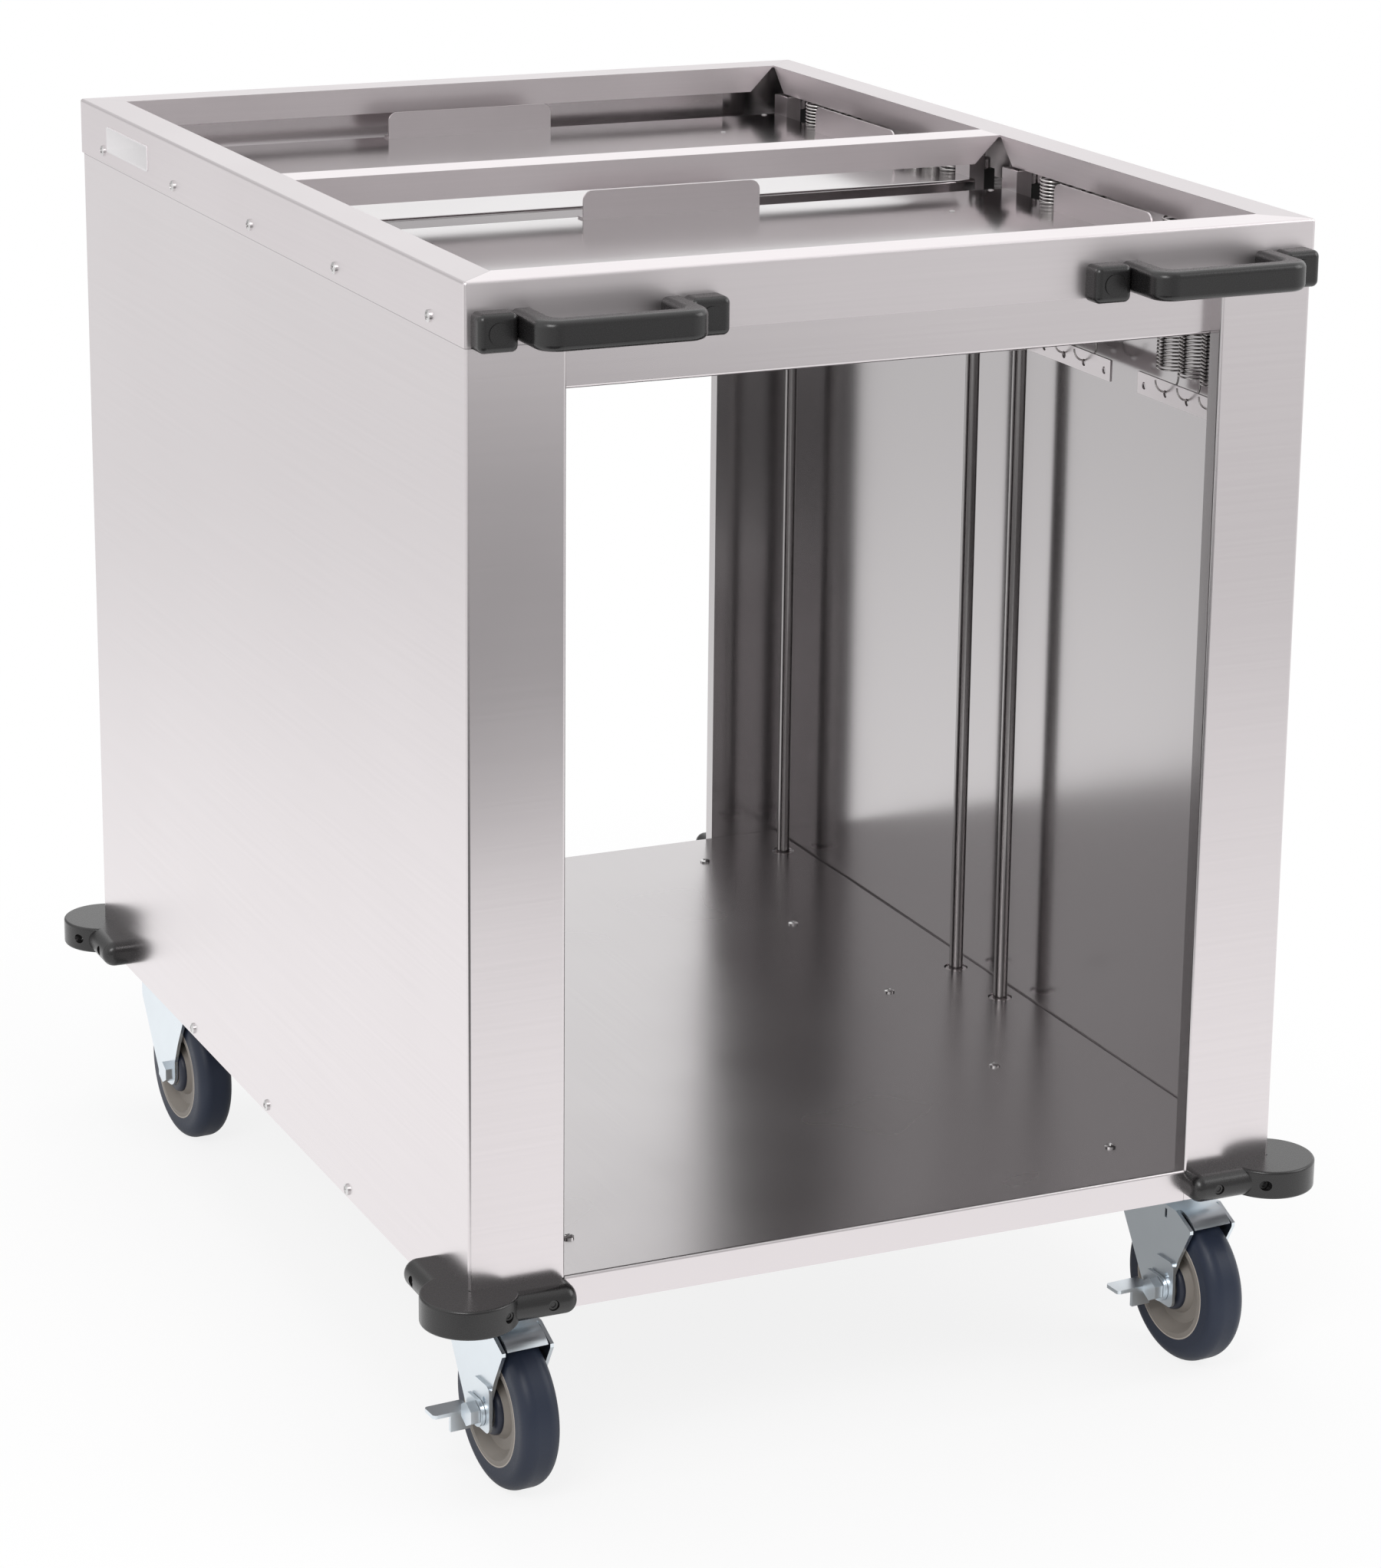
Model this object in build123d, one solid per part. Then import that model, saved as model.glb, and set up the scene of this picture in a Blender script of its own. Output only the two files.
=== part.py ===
from build123d import *
import os
from math import cos, pi, sin, sqrt

# Two-stack self-levelling tray dispenser in folded stainless sheet, in millimetres.
# X points right, Y to the back, Z up. The origin is on the floor under the middle of the whole outline.
# Cabinet sizes
width = 686.0
depth = 914.0
height = 936.0
caster_height = 156.0
sheet = 1.5
bend = 2.5

# Rim
band_height = 46.7
side_rail = 32.0
end_rail = 33.0
divider = 34.0
lip_height = 23.0
lip_room = 0.4

# Pillars, headers and deck
pillar = 78.0
pillar_return = 15.0
header_drop = 85.4
header_return = 6.0
deck_rise = 25.5
deck_gap = 0.3

# Caster channels under the deck
channel_sheet = 2.0
channel_line = 108.0
channel_lip = 25.0

# Guide rods by the right wall
rod_radius = 6.0
rod_inset = 24.5
rod_top_drop = 3.0
carrier_offset = -7.0
rod_hole = 10.5
collar_radius = 8.0
collar_height = 12.0
stop_ring_height = 8.0
snug = 0.1

# Tray carriers
platform_drop = 41.0
platform_flange = 9.0
platform_front = 23.6
platform_gap = 2.0
rod_setback = 15.0
post_depth = 25.4
post_wall = 2.0
post_foot = 1.5
bushing_length = 20.0
bushing_recess = 12.0
bushing_wall = 4.0
running = 0.3
arm_length = 240.0
arm_root = 46.0
arm_tip = 12.0
arm_sheet = 3.0
stop_length = 155.0
stop_height = 23.0
stop_foot = 11.0
stop_corner = 8.0

# Hook strips, spring hanger and springs
strip_length = 144.0
strip_height = 17.5
strip_drop = 155.5
strip_sheet = 2.0
line_setback = 2.0
hole_radius = 3.0
hole_pitch = 33.3
hole_margin = 9.8
hole_depth = 10.0
holes_in_strip = 4
hanger_sheet = 2.0
hanger_drop = 4.0
hanger_leg = 13.0
hanger_wall_leg = 41.0
hanger_overhang = 20.0
hanger_room = 3.0
wire_radius = 1.0
spring_radius = 8.75
spring_turns = 7.5
hook_bend = 4.0
coil_top_drop = 31.0
coil_bottom_gap = 4.0

# Handles
handle_inset = 5.0
handle_length = 191.0
handle_drop = 21.0
pad_width = 30.0
pad_height = 28.0
pad_depth = 17.0
grip_reach = 56.0
grip_height = 22.0
grip_depth = 17.0
grip_outer_bend = 17.0
grip_inner_bend = 6.0
soft_edge = 5.0
cap_radius = 8.0
cap_height = 0.8

# Corner bumpers
bumper_lobe = 37.0
bumper_arm = 79.0
bumper_depth = 24.0
bumper_height = 23.0
bumper_lift = 3.5
bumper_round = 2.0
bumper_end_round = 9.0
bumper_screw_radius = 3.4
bumper_recess = 4.2
bumper_recess_depth = 12.0
bumper_screw_near = 20.0
bumper_screw_far = 58.0

# Screws and the blank name plate
screw_head = 4.6
screw_head_height = 2.6
screw_round = 1.2
screw_shank = 1.9
screw_length = 8.0
screw_room = 0.2
band_screws = 5
screw_end_inset = 67.0
band_screw_drop = 36.0
foot_screw_rise = 7.0
plate_length = 114.0
plate_height = 21.6
plate_thickness = 0.8
plate_inset = 136.0
plate_drop = 24.2

# Casters
caster_side_inset = 48.0
caster_end_inset = 74.0
caster_turn = 4.0
lead = 29.0
wheel_radius = 63.5
tread_half = 16.0
shoulder = 11.0
hub_radius = 44.5
hub_rim = 5.0
hub_dish = 7.0
hub_web_half = 8.0
hub_boss = 17.0
hub_boss_half = 17.6
axle_radius = 5.0
mount_plate_x = 62.0
mount_plate_y = 92.0
mount_plate = 4.0
bolt_spread_x = 44.0
bolt_spread_y = 76.0
bolt_flats = 11.0
bolt_head = 4.5
race_radius = 26.0
race_height = 17.5
kingpin_radius = 6.0
kingpin_nut = 10.0
kingpin_nut_height = 3.5
fork_sheet = 3.0
fork_gap_half = 18.6
crown_back = 36.0
crown_front = 42.0
hood_reach = 21.0
hood_drop = 10.5
hood_half = 17.0
neck_reach = 7.0
neck_fall = 29.0
leg_below_axle = 13.0
leg_front = 12.0
nut_flats = 17.0
nut_height = 7.5
brake_sheet = 2.5
brake_plate_front = 17.0
brake_plate_rise = 26.0
lever_sheet = 3.0
lever_arm = 32.0
lever_width = 22.0
pedal_reach = 28.0
pedal_width = 18.0
pedal_drop = 6.5
flap_reach = 14.0
flap_height = 16.0
brake_hole = 2.5

# Levels and lines that several pieces share
half_w = width / 2
half_d = depth / 2
top = height
panel_face_x = half_w - sheet
panel_face_y = half_d - sheet
panel_inner_x = panel_face_x - sheet
foot = caster_height
deck_top = foot + deck_rise
window_x = half_w - side_rail
window_y = half_d - end_rail
stack_pitch = window_y + divider / 2
rod_spacing = window_y - divider / 2 - 2 * rod_inset
pillar_edge = half_w - pillar
return_end = panel_face_y - pillar_return
rod_line = window_x + sheet + lip_room + rod_radius
line_x = rod_line - line_setback
post_face = rod_line - rod_setback
post_half = post_depth / 2
post_slot = post_half - post_wall
platform_top = top - platform_drop
strip_top = top - strip_drop
post_top = top - lip_height - lip_room
post_bottom = strip_top - strip_height - post_foot
hanger_top = top - hanger_drop
stack_middle = {"front": -stack_pitch / 2 + carrier_offset, "rear": stack_pitch / 2 + carrier_offset}
screw_pitch = (depth - 2 * screw_end_inset) / (band_screws - 1)
screw_rows = [screw_end_inset - half_d + i * screw_pitch for i in range(band_screws)]
foot_screw_rows = screw_rows[1:-1]
channel_x = half_w - channel_line
cabinet_y = (grip_reach - (bumper_lobe - sheet)) / 2


def slab(x0, x1, y0, y1, z0, z1):
    """A box between two corners."""
    return Pos((x0 + x1) / 2, (y0 + y1) / 2, (z0 + z1) / 2) * Box(x1 - x0, y1 - y0, z1 - z0)


def rod_x(x, y, z, radius, length):
    """A round bar along X, centred on the point."""
    return Pos(x, y, z) * Rot(0, 90, 0) * Cylinder(radius, length)


def disc(x, y, z0, z1, radius):
    """An upright round bar between two levels."""
    return Pos(x, y, (z0 + z1) / 2) * Cylinder(radius, z1 - z0)


def group(solids):
    """Several separate solids of one node."""
    return Compound([s for piece in solids for s in piece.solids()])


def right_of(piece):
    """The same piece on the right side."""
    return mirror(piece, about=Plane.YZ)


def back_of(piece):
    """The same piece at the back."""
    return mirror(piece, about=Plane.XZ)


def rod_lines(stack):
    """The Y of the two guide rods of a stack, front one first."""
    middle = stack_middle[stack]
    return [middle - rod_spacing / 2, middle + rod_spacing / 2]


def hole_lines(stack):
    """The Y of the hook holes in a stack's two strips, each strip from its free end."""
    near, far = rod_lines(stack)
    front = near + post_half + strip_length - hole_margin
    rear = far - post_half - strip_length + hole_margin
    steps = [i * hole_pitch for i in range(holes_in_strip)]
    return [front - s for s in steps], [rear + s for s in steps]


def screw():
    """A round-head screw, standing on its seat at Z = 0 with the shank below."""
    head = Pos(0, 0, screw_head_height / 2) * Cylinder(screw_head, screw_head_height)
    head = fillet(head.edges().sort_by(Axis.Z)[-1], screw_round)
    return head + Pos(0, 0, -screw_length / 2) * Cylinder(screw_shank, screw_length)


def hex_prism(flats, z0, z1):
    """An upright hexagon between two levels."""
    return Pos(0, 0, z0) * extrude(RegularPolygon(flats / sqrt(3), 6), z1 - z0)


# The rim: folded rails that meet in mitres, with a cross rail and turned-down lips with ends cut at 45 degrees
def lip_along_x(x_half, y, toward):
    """A lip along X under a rail's edge at y, its thickness on the side of the rail."""
    low = x_half - lip_height
    points = [(-x_half, top), (x_half, top), (low, top - lip_height), (-low, top - lip_height)]
    face = make_face(Polyline(*[(px, y, pz) for px, pz in points], close=True))
    return extrude(face, sheet, dir=(0, toward, 0))


def lip_along_y(x, y0, y1, toward):
    """A lip along Y under a rail's edge at x, its thickness on the side of the rail."""
    points = [(y0, top), (y1, top), (y1 - lip_height, top - lip_height), (y0 + lip_height, top - lip_height)]
    face = make_face(Polyline(*[(x, py, pz) for py, pz in points], close=True))
    return extrude(face, sheet, dir=(toward, 0, 0))


def side_screw_hole(y, z):
    """A screw hole through both sides of the cabinet."""
    return rod_x(0, y, z, screw_shank + screw_room, width + 4 * sheet)


def make_top_frame():
    outer = slab(-half_w, half_w, -half_d, half_d, top - band_height, top)
    outer = fillet(outer.edges().filter_by(Axis.Z), bend)
    outer = fillet(outer.edges().group_by(Axis.Z)[-1], bend)
    cavity = slab(-panel_face_x, panel_face_x, -panel_face_y, panel_face_y, top - band_height, top - sheet)
    frame = outer - fillet(cavity.edges().filter_by(Axis.Z), bend - sheet)
    for y0, y1 in ((-window_y, -divider / 2), (divider / 2, window_y)):
        frame -= slab(-window_x, window_x, y0, y1, top - band_height, top)
        frame += lip_along_x(window_x, y0, -1)
        frame += lip_along_x(window_x, y1, 1)
        frame += lip_along_y(window_x, y0, y1, 1)
        frame += lip_along_y(-window_x, y0, y1, -1)
    for y in screw_rows:
        frame -= side_screw_hole(y, top - band_screw_drop)
    return group([frame & rail for rail in rail_sectors()])


def rail_sectors():
    """Upright prisms round the four outer rails, between their mitres, and round the cross rail."""
    far_x = half_w + side_rail
    far_y = half_d + end_rail
    end = [(-far_x, -far_y), (far_x, -far_y), (window_x, -window_y), (-window_x, -window_y)]
    side = [(-far_x, -far_y), (-window_x, -window_y), (-window_x, window_y), (-far_x, far_y)]
    end_sector = extrude(make_face(Polyline(*end, close=True)), 2 * height)
    side_sector = extrude(make_face(Polyline(*side, close=True)), 2 * height)
    cross = slab(-window_x, window_x, -divider / 2, divider / 2, 0, 2 * height)
    return [end_sector, back_of(end_sector), side_sector, right_of(side_sector), cross]


# The side panels, folded round the front and the back as pillars
def make_left_panel():
    web = slab(-panel_face_x, panel_face_x, -panel_face_y, panel_face_y, foot, top - sheet)
    web = fillet(web.edges().filter_by(Axis.Z), bend)
    inner = panel_face_y - sheet
    web -= slab(-panel_inner_x, width, -inner, inner, foot, top)
    web -= slab(-pillar_edge, width, -depth, depth, foot, top)
    near = slab(-pillar_edge - sheet, -pillar_edge, -panel_face_y, -return_end, foot, top - sheet)
    panel = web + near + back_of(near)
    fold = panel.edges().filter_by(Axis.Z)
    fold = fold.filter_by_position(Axis.X, -pillar_edge - sheet / 2, -pillar_edge + sheet / 2)
    panel = fillet(fold.group_by(Axis.Y)[0] + fold.group_by(Axis.Y)[-1], bend)
    for y in screw_rows:
        panel -= side_screw_hole(y, top - band_screw_drop)
    for y in foot_screw_rows:
        panel -= side_screw_hole(y, foot + foot_screw_rise)
    for hole in at_bumper_screws(disc(0, 0, -2 * sheet, 2 * sheet, screw_shank + screw_room)):
        panel -= hole
        panel -= back_of(hole)
    return panel


# A header lies against the ends of the pillars' returns
def make_front_header():
    low = top - header_drop
    face = -return_end
    end = pillar_edge + sheet
    plate = slab(-end, end, face, face + sheet, low, top - sheet)
    plate += slab(-pillar_edge, pillar_edge, face + sheet, face + sheet + header_return, low, low + sheet)
    return fillet(plate.edges().filter_by(Axis.X).group_by(Axis.Z)[0].group_by(Axis.Y)[0], bend)


# The deck, with skirts between the pillars and flanges against the side panels
def make_deck():
    behind = return_end - deck_gap
    under = deck_top - sheet
    deck = slab(-panel_inner_x, panel_inner_x, -behind, behind, under, deck_top)
    deck += slab(-pillar_edge, pillar_edge, -panel_face_y, panel_face_y, under, deck_top)
    skirt = slab(-pillar_edge, pillar_edge, -panel_face_y, sheet - panel_face_y, foot, deck_top)
    flange = slab(-panel_inner_x, sheet - panel_inner_x, -behind, behind, foot, deck_top)
    deck += skirt + back_of(skirt) + flange + right_of(flange)
    # corners behind the pillars, clear of the pillars' returns
    near = deck_gap + sheet - panel_face_y
    corner = slab(-panel_inner_x, -pillar_edge - sheet - deck_gap, near, -behind, under, deck_top)
    corners = corner + right_of(corner)
    deck += corners + back_of(corners)
    upper = deck.edges().group_by(Axis.Z)[-1]
    along = upper.filter_by(Axis.Y).group_by(Axis.X)
    across = upper.filter_by(Axis.X).group_by(Axis.Y)
    deck = fillet(along[0] + along[-1] + across[0] + across[-1], bend)
    for y in all_rods():
        deck -= disc(rod_line, y, foot, deck_top, rod_hole)
    for y in foot_screw_rows:
        deck -= side_screw_hole(y, foot + foot_screw_rise)
    for y in screw_rows:
        for x in (-channel_x, channel_x):
            deck -= disc(x, y, foot, deck_top, screw_shank + screw_room)
    # one flat plate, and each skirt and flange under it
    upper_side = slab(-width, width, -depth, depth, under, height)
    return group([deck & upper_side, deck - upper_side])


def make_left_channel():
    end = return_end - deck_gap
    under = deck_top - sheet
    outer_x = sheet - panel_inner_x
    inner_x = -channel_x - channel_lip / 2
    channel = slab(outer_x, inner_x, -end, end, foot, foot + channel_sheet)
    channel += slab(outer_x, outer_x + channel_sheet, -end, end, foot, under)
    channel += slab(inner_x - channel_sheet, inner_x, -end, end, foot, under)
    channel += slab(inner_x, inner_x + channel_lip, -end, end, under - channel_sheet, under)
    for y in screw_rows:
        channel -= disc(-channel_x, y, foot, deck_top, screw_shank + screw_room)
    for y in foot_screw_rows:
        channel -= side_screw_hole(y, foot + foot_screw_rise)
    for y in caster_rows():
        for bolt in bolt_places():
            spot = Pos(-caster_x, y) * bolt
            channel -= disc(spot.position.X, spot.position.Y, foot, deck_top, screw_shank + screw_room)
    return channel


# Guide rods, which stand on the right channel in base collars under the deck's holes, and their stop rings
rod_foot = foot + channel_sheet


def make_rods(stack):
    return group([disc(rod_line, y, rod_foot, top - rod_top_drop, rod_radius) for y in rod_lines(stack)])


def make_ring(y, z0, z1, radius):
    return disc(rod_line, y, z0, z1, radius) - disc(rod_line, y, z0, z1, rod_radius + snug)


def all_rods():
    return rod_lines("front") + rod_lines("rear")


def make_collars():
    return group([make_ring(y, rod_foot, rod_foot + collar_height, collar_radius) for y in all_rods()])


def make_stop_rings():
    """Rings on the rods, in the hollow tops of the carriers' posts, which the upper bushings meet."""
    low = post_top - bushing_recess + running
    return group([make_ring(y, low, low + stop_ring_height, post_slot - running) for y in all_rods()])


def make_hanger(stack):
    near, far = rod_lines(stack)
    y0 = near - hanger_overhang
    y1 = far + hanger_overhang
    front_x = line_x - hanger_sheet / 2
    hanger = slab(front_x, panel_inner_x, y0, y1, hanger_top - hanger_sheet, hanger_top)
    hanger += slab(panel_inner_x - hanger_sheet, panel_inner_x, y0, y1, hanger_top - hanger_wall_leg, hanger_top)
    room = post_half + hanger_room
    leg = slab(front_x, front_x + hanger_sheet, near + room, far - room, hanger_top - hanger_leg, hanger_top)
    hanger += leg
    for y in (near, far):
        hanger -= disc(rod_line, y, hanger_top - hanger_sheet, hanger_top, rod_radius + snug)
    for y in screw_rows:
        hanger -= side_screw_hole(y, top - band_screw_drop)
    for row in hole_lines(stack):
        for y in row:
            hanger -= rod_x(line_x, y, hanger_hole_z, hole_radius, 2 * hanger_sheet)
    return hanger


hanger_hole_z = hanger_top - hanger_leg + hole_radius + hanger_sheet
strip_hole_z = strip_top - hole_depth
hook_seat = hole_radius - wire_radius - running


# Tray carriers
def make_platform(stack):
    near, far = rod_lines(stack)
    left = -window_x + platform_gap
    y0 = near - platform_front
    y1 = far + post_half
    low = platform_top - platform_flange
    pan = slab(left, post_face, y0, y1, platform_top - sheet, platform_top)
    pan += slab(left, post_face, y0, y0 + sheet, low, platform_top)
    pan += slab(left, post_face, y1 - sheet, y1, low, platform_top)
    pan += slab(left, left + sheet, y0, y1, low, platform_top)
    upper = pan.edges().group_by(Axis.Z)[-1]
    across = upper.filter_by(Axis.X)
    return fillet(across + upper.filter_by(Axis.Y).group_by(Axis.X)[0], bend)


def make_posts(stack):
    """Upright channels at the platform's right edge, open to the wall."""
    posts = []
    x1 = line_x + strip_sheet / 2
    for y in rod_lines(stack):
        outer = slab(post_face, x1, y - post_half, y + post_half, post_bottom, post_top)
        posts.append(outer - slab(post_face + post_wall, x1, y - post_slot, y + post_slot, post_bottom, post_top))
    return group(posts)


def make_bushings(stack):
    x0 = post_face + post_wall
    x1 = rod_line + rod_radius + bushing_wall
    bushings = []
    for y in rod_lines(stack):
        for z in (post_bottom, post_top - bushing_recess - bushing_length):
            block = slab(x0, x1, y - post_slot, y + post_slot, z, z + bushing_length)
            bushings.append(block - disc(rod_line, y, z, z + bushing_length, rod_radius + running))
    return group(bushings)


def make_strips(stack):
    near, far = rod_lines(stack)
    x0 = line_x - strip_sheet / 2
    starts = (near + post_half, far - post_half - strip_length)
    strips = []
    for y0, row in zip(starts, hole_lines(stack)):
        strip = slab(x0, x0 + strip_sheet, y0, y0 + strip_length, strip_top - strip_height, strip_top)
        for y in row:
            strip -= rod_x(line_x, y, strip_hole_z, hole_radius, 2 * strip_sheet)
        strips.append(strip)
    return group(strips)


def make_arms(stack):
    under = platform_top - sheet
    points = [(post_face, under), (post_face - arm_length, under)]
    points += [(post_face - arm_length, under - arm_tip), (post_face, under - arm_root)]
    arms = []
    for y in rod_lines(stack):
        face = make_face(Polyline(*[(px, y, pz) for px, pz in points], close=True))
        arms.append(extrude(face, arm_sheet / 2, dir=(0, 1, 0), both=True))
    return group(arms)


def make_stop():
    """A stop tab along X: upright leg at Y = 0 facing the trays, foot behind it, standing at Z = 0."""
    leg = slab(-stop_length / 2, stop_length / 2, -sheet, 0, 0, stop_height)
    corners = leg.edges().filter_by(Axis.Y).group_by(Axis.Z)[-1]
    leg = fillet(corners, stop_corner)
    return leg + slab(-stop_length / 2, stop_length / 2, -sheet, stop_foot - sheet, 0, sheet)


def make_stops(stack):
    near, far = rod_lines(stack)
    middle_x = (post_face - window_x + platform_gap) / 2
    rear = Pos(middle_x, far + post_half - stop_foot, platform_top) * make_stop()
    side = Pos(post_face - stop_foot - sheet, (near + far) / 2, platform_top) * Rot(0, 0, -90) * make_stop()
    return group([rear, side])


# Extension springs: one wire from the strip's hole, round the coil, to the hanger's hole
def biarc(p0, t0, p1, t1):
    """Two arcs that join two points and keep both directions."""
    v = p1 - p0
    t = t0 + t1
    spread = 2 * (1 - t0.dot(t1))
    along = v.dot(t)
    reach = (sqrt(along * along + spread * v.dot(v)) - along) / spread
    middle = (p0 + p1 + (t0 - t1) * reach) * 0.5
    first = TangentArc(p0, middle, tangent=t0)
    return [first, TangentArc(middle, p1, tangent=first % 1)]


def make_spring():
    """A spring whose two hooks lie in the holes above and below Y = 0 of the plane X = line_x."""
    z_low = strip_hole_z + hook_seat
    z_high = hanger_hole_z - hook_seat
    coil_low = strip_top + coil_bottom_gap
    coil_high = top - coil_top_drop
    pitch = (coil_high - coil_low) / spring_turns
    rise = pitch / (2 * pi * spring_radius)
    flat = 1 / sqrt(1 + rise * rise)
    # the hook's upright meets the coil in a bend of the hook's radius, beside the spring's axis
    beside = hook_bend * (1 - rise * flat)
    above = hook_bend * flat

    def on_coil(turn):
        angle = pi + 2 * pi * turn
        point = Vector(line_x + spring_radius * cos(angle), -beside + spring_radius * sin(angle), coil_low + pitch * turn)
        way = Vector(-sin(angle), cos(angle), rise).normalized()
        return point, way

    first = on_coil(0)[0]
    last, last_way = on_coil(spring_turns)
    # the hooks pass through their sheets as far as the rods' left side lies from the line
    hook_past = rod_radius - line_setback
    low_start = Vector(line_x + hook_past, 0, z_low)
    low_corner = Vector(first.X + hook_bend, 0, z_low)
    low_up = Vector(first.X, 0, z_low + hook_bend)
    low_bend = Vector(first.X, 0, first.Z - above)
    high_bend = Vector(last.X, 0, last.Z + above)
    high_up = Vector(last.X, 0, z_high - hook_bend)
    high_corner = Vector(last.X - hook_bend, 0, z_high)
    high_end = Vector(line_x - hook_past, 0, z_high)
    up = Vector(0, 0, 1)
    edges = [Line(low_start, low_corner), TangentArc(low_corner, low_up, tangent=Vector(-1, 0, 0))]
    edges += [Line(low_up, low_bend), TangentArc(low_bend, first, tangent=up)]
    halves = int(round(2 * spring_turns))
    for i in range(halves):
        p0, t0 = on_coil(i / 2)
        p1, t1 = on_coil((i + 1) / 2)
        edges += biarc(p0, t0, p1, t1)
    edges += [TangentArc(last, high_bend, tangent=last_way), Line(high_bend, high_up)]
    edges += [TangentArc(high_up, high_corner, tangent=up), Line(high_corner, high_end)]
    path = Wire(edges)
    section = Plane(origin=low_start, z_dir=low_corner - low_start) * Circle(wire_radius)
    spring = sweep(section, path=path)
    samples = [path @ (i / 1200) for i in range(1201)]
    step = path.length / 1200
    apart = int(4 * wire_radius / step) + 12
    gap = min((samples[i] - samples[j]).length for i in range(1201) for j in range(i + apart, 1201, 3))
    print("spring: least gap to itself", round(gap - 2 * wire_radius, 2), "mm")
    print("spring: volume over section times length", round(spring.volume / (pi * wire_radius**2 * path.length), 4))
    return spring


def make_springs(stack, spring):
    return group([Pos(0, y, 0) * spring for row in hole_lines(stack) for y in row[1:]])


# Push handles on the front band
def make_left_handle():
    face = -half_d
    x0 = -half_w + handle_inset
    x1 = x0 + handle_length
    high = top - handle_drop
    leg0 = x0 + pad_width
    leg1 = x1 - pad_width
    outline = Rectangle(leg1 - leg0, grip_reach)
    outline = fillet(outline.vertices().group_by(Axis.Y)[0], grip_outer_bend)
    gap = Rectangle(leg1 - leg0 - 2 * grip_depth, grip_reach)
    gap = Pos(0, grip_depth) * fillet(gap.vertices().group_by(Axis.Y)[0], grip_inner_bend)
    grip = extrude(outline - gap, grip_height)
    rims = grip.edges().filter_by(Plane.XY) - grip.edges().group_by(Axis.Y)[-1]
    grip = fillet(rims, soft_edge)
    handle = Pos((leg0 + leg1) / 2, face - grip_reach / 2, high - grip_height) * grip
    for px in (x0, leg1):
        block = slab(px, px + pad_width, face - pad_depth, face, high - pad_height, high)
        front = block.edges().group_by(Axis.Y)[0]
        sides = block.edges().filter_by(Axis.Y)
        block = fillet(front + sides, soft_edge)
        handle += block
    return handle


def cap_places():
    """The middles of the left handle's pads."""
    x0 = -half_w + handle_inset + pad_width / 2
    return [x0, x0 + handle_length - pad_width]


def make_handle_caps():
    y = -half_d - pad_depth - cap_height / 2
    z = top - handle_drop - pad_height / 2
    left = [Pos(x, y, z) * Rot(90, 0, 0) * Cylinder(cap_radius, cap_height) for x in cap_places()]
    return group(left + [right_of(c) for c in left])


# Corner bumpers, modelled at the front left corner
bumper_low = foot + bumper_lift
bumper_seat = bumper_depth - bumper_recess_depth


def make_front_left_bumper():
    nose = bumper_height / 2
    web = bumper_depth - nose
    section = Pos(-web / 2, nose) * Rectangle(web, bumper_height) + Pos(-web, nose) * Circle(nose)
    arm = extrude(Plane.YZ * section, bumper_arm)
    arm = fillet(arm.edges().group_by(Axis.X)[-1].sort_by(Axis.Y)[:-1], bumper_end_round)
    lobe = disc(0, 0, 0, bumper_height, bumper_lobe)
    lobe = fillet(lobe.edges().filter_by(GeomType.CIRCLE), bumper_round)
    solid = lobe + arm + swap_xy(arm)
    solid -= slab(0, 2 * bumper_arm, 0, 2 * bumper_arm, 0, bumper_height)
    bumper = Pos(-panel_face_x, -panel_face_y, bumper_low) * solid
    pocket = disc(0, 0, bumper_seat, bumper_lobe, bumper_recess)
    bore = disc(0, 0, 0, bumper_lobe, screw_shank + screw_room)
    for hole in at_bumper_screws(pocket) + at_bumper_screws(bore):
        bumper -= hole
    return bumper


def swap_xy(piece):
    """The piece mirrored in the upright plane through the corner, so that X and Y change places."""
    return mirror(piece, about=Plane(origin=(0, 0, 0), z_dir=(1, -1, 0)))


def at_bumper_screws(piece):
    """Copies of a piece that stands at Z = 0, on the panel at the front left bumper's four screws."""
    copies = []
    for along in (bumper_screw_near, bumper_screw_far):
        one = Pos(along, 0, bumper_height / 2) * Rot(90, 0, 0) * piece
        copies += [one, swap_xy(one)]
    return [Pos(-panel_face_x, -panel_face_y, bumper_low) * c for c in copies]


def make_bumper_screws():
    one = disc(0, 0, bumper_seat, bumper_seat + screw_head_height, bumper_screw_radius)
    one += disc(0, 0, -sheet, bumper_seat, screw_shank)
    corner = at_bumper_screws(one)
    left = corner + [back_of(s) for s in corner]
    return group(left + [right_of(s) for s in left])


# Screws of the band, the panels' feet and the deck, and the blank name plate
def make_sheet_screws():
    left = [Pos(-half_w, y, top - band_screw_drop) * Rot(0, -90, 0) * screw() for y in screw_rows]
    left += [Pos(-panel_face_x, y, foot + foot_screw_rise) * Rot(0, -90, 0) * screw() for y in foot_screw_rows]
    left += [Pos(-channel_x, y, deck_top) * screw() for y in screw_rows]
    return group(left + [right_of(s) for s in left])


def make_name_plate():
    y0 = half_d - plate_inset - plate_length / 2
    z1 = top - plate_drop + plate_height / 2
    return slab(-half_w - plate_thickness, -half_w, y0, y0 + plate_length, z1 - plate_height, z1)


# Casters: each is modelled round its kingpin, trailing to the front, and then turned a little
caster_x = half_w - caster_side_inset
caster_y = half_d - caster_end_inset
axle_z = wheel_radius
crown_top = foot - mount_plate - race_height - running
leg_outer = fork_gap_half + fork_sheet


def caster_rows():
    return (-caster_y, caster_y)


def bolt_places():
    return [Pos(x, y) for x in (-bolt_spread_x / 2, bolt_spread_x / 2) for y in (-bolt_spread_y / 2, bolt_spread_y / 2)]


casters = {
    "front_left": Pos(-caster_x, -caster_y),
    "front_right": Pos(caster_x, -caster_y),
    "rear_left": Pos(-caster_x, caster_y),
    "rear_right": Pos(caster_x, caster_y),
}
turned = Rot(0, 0, caster_turn)


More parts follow.
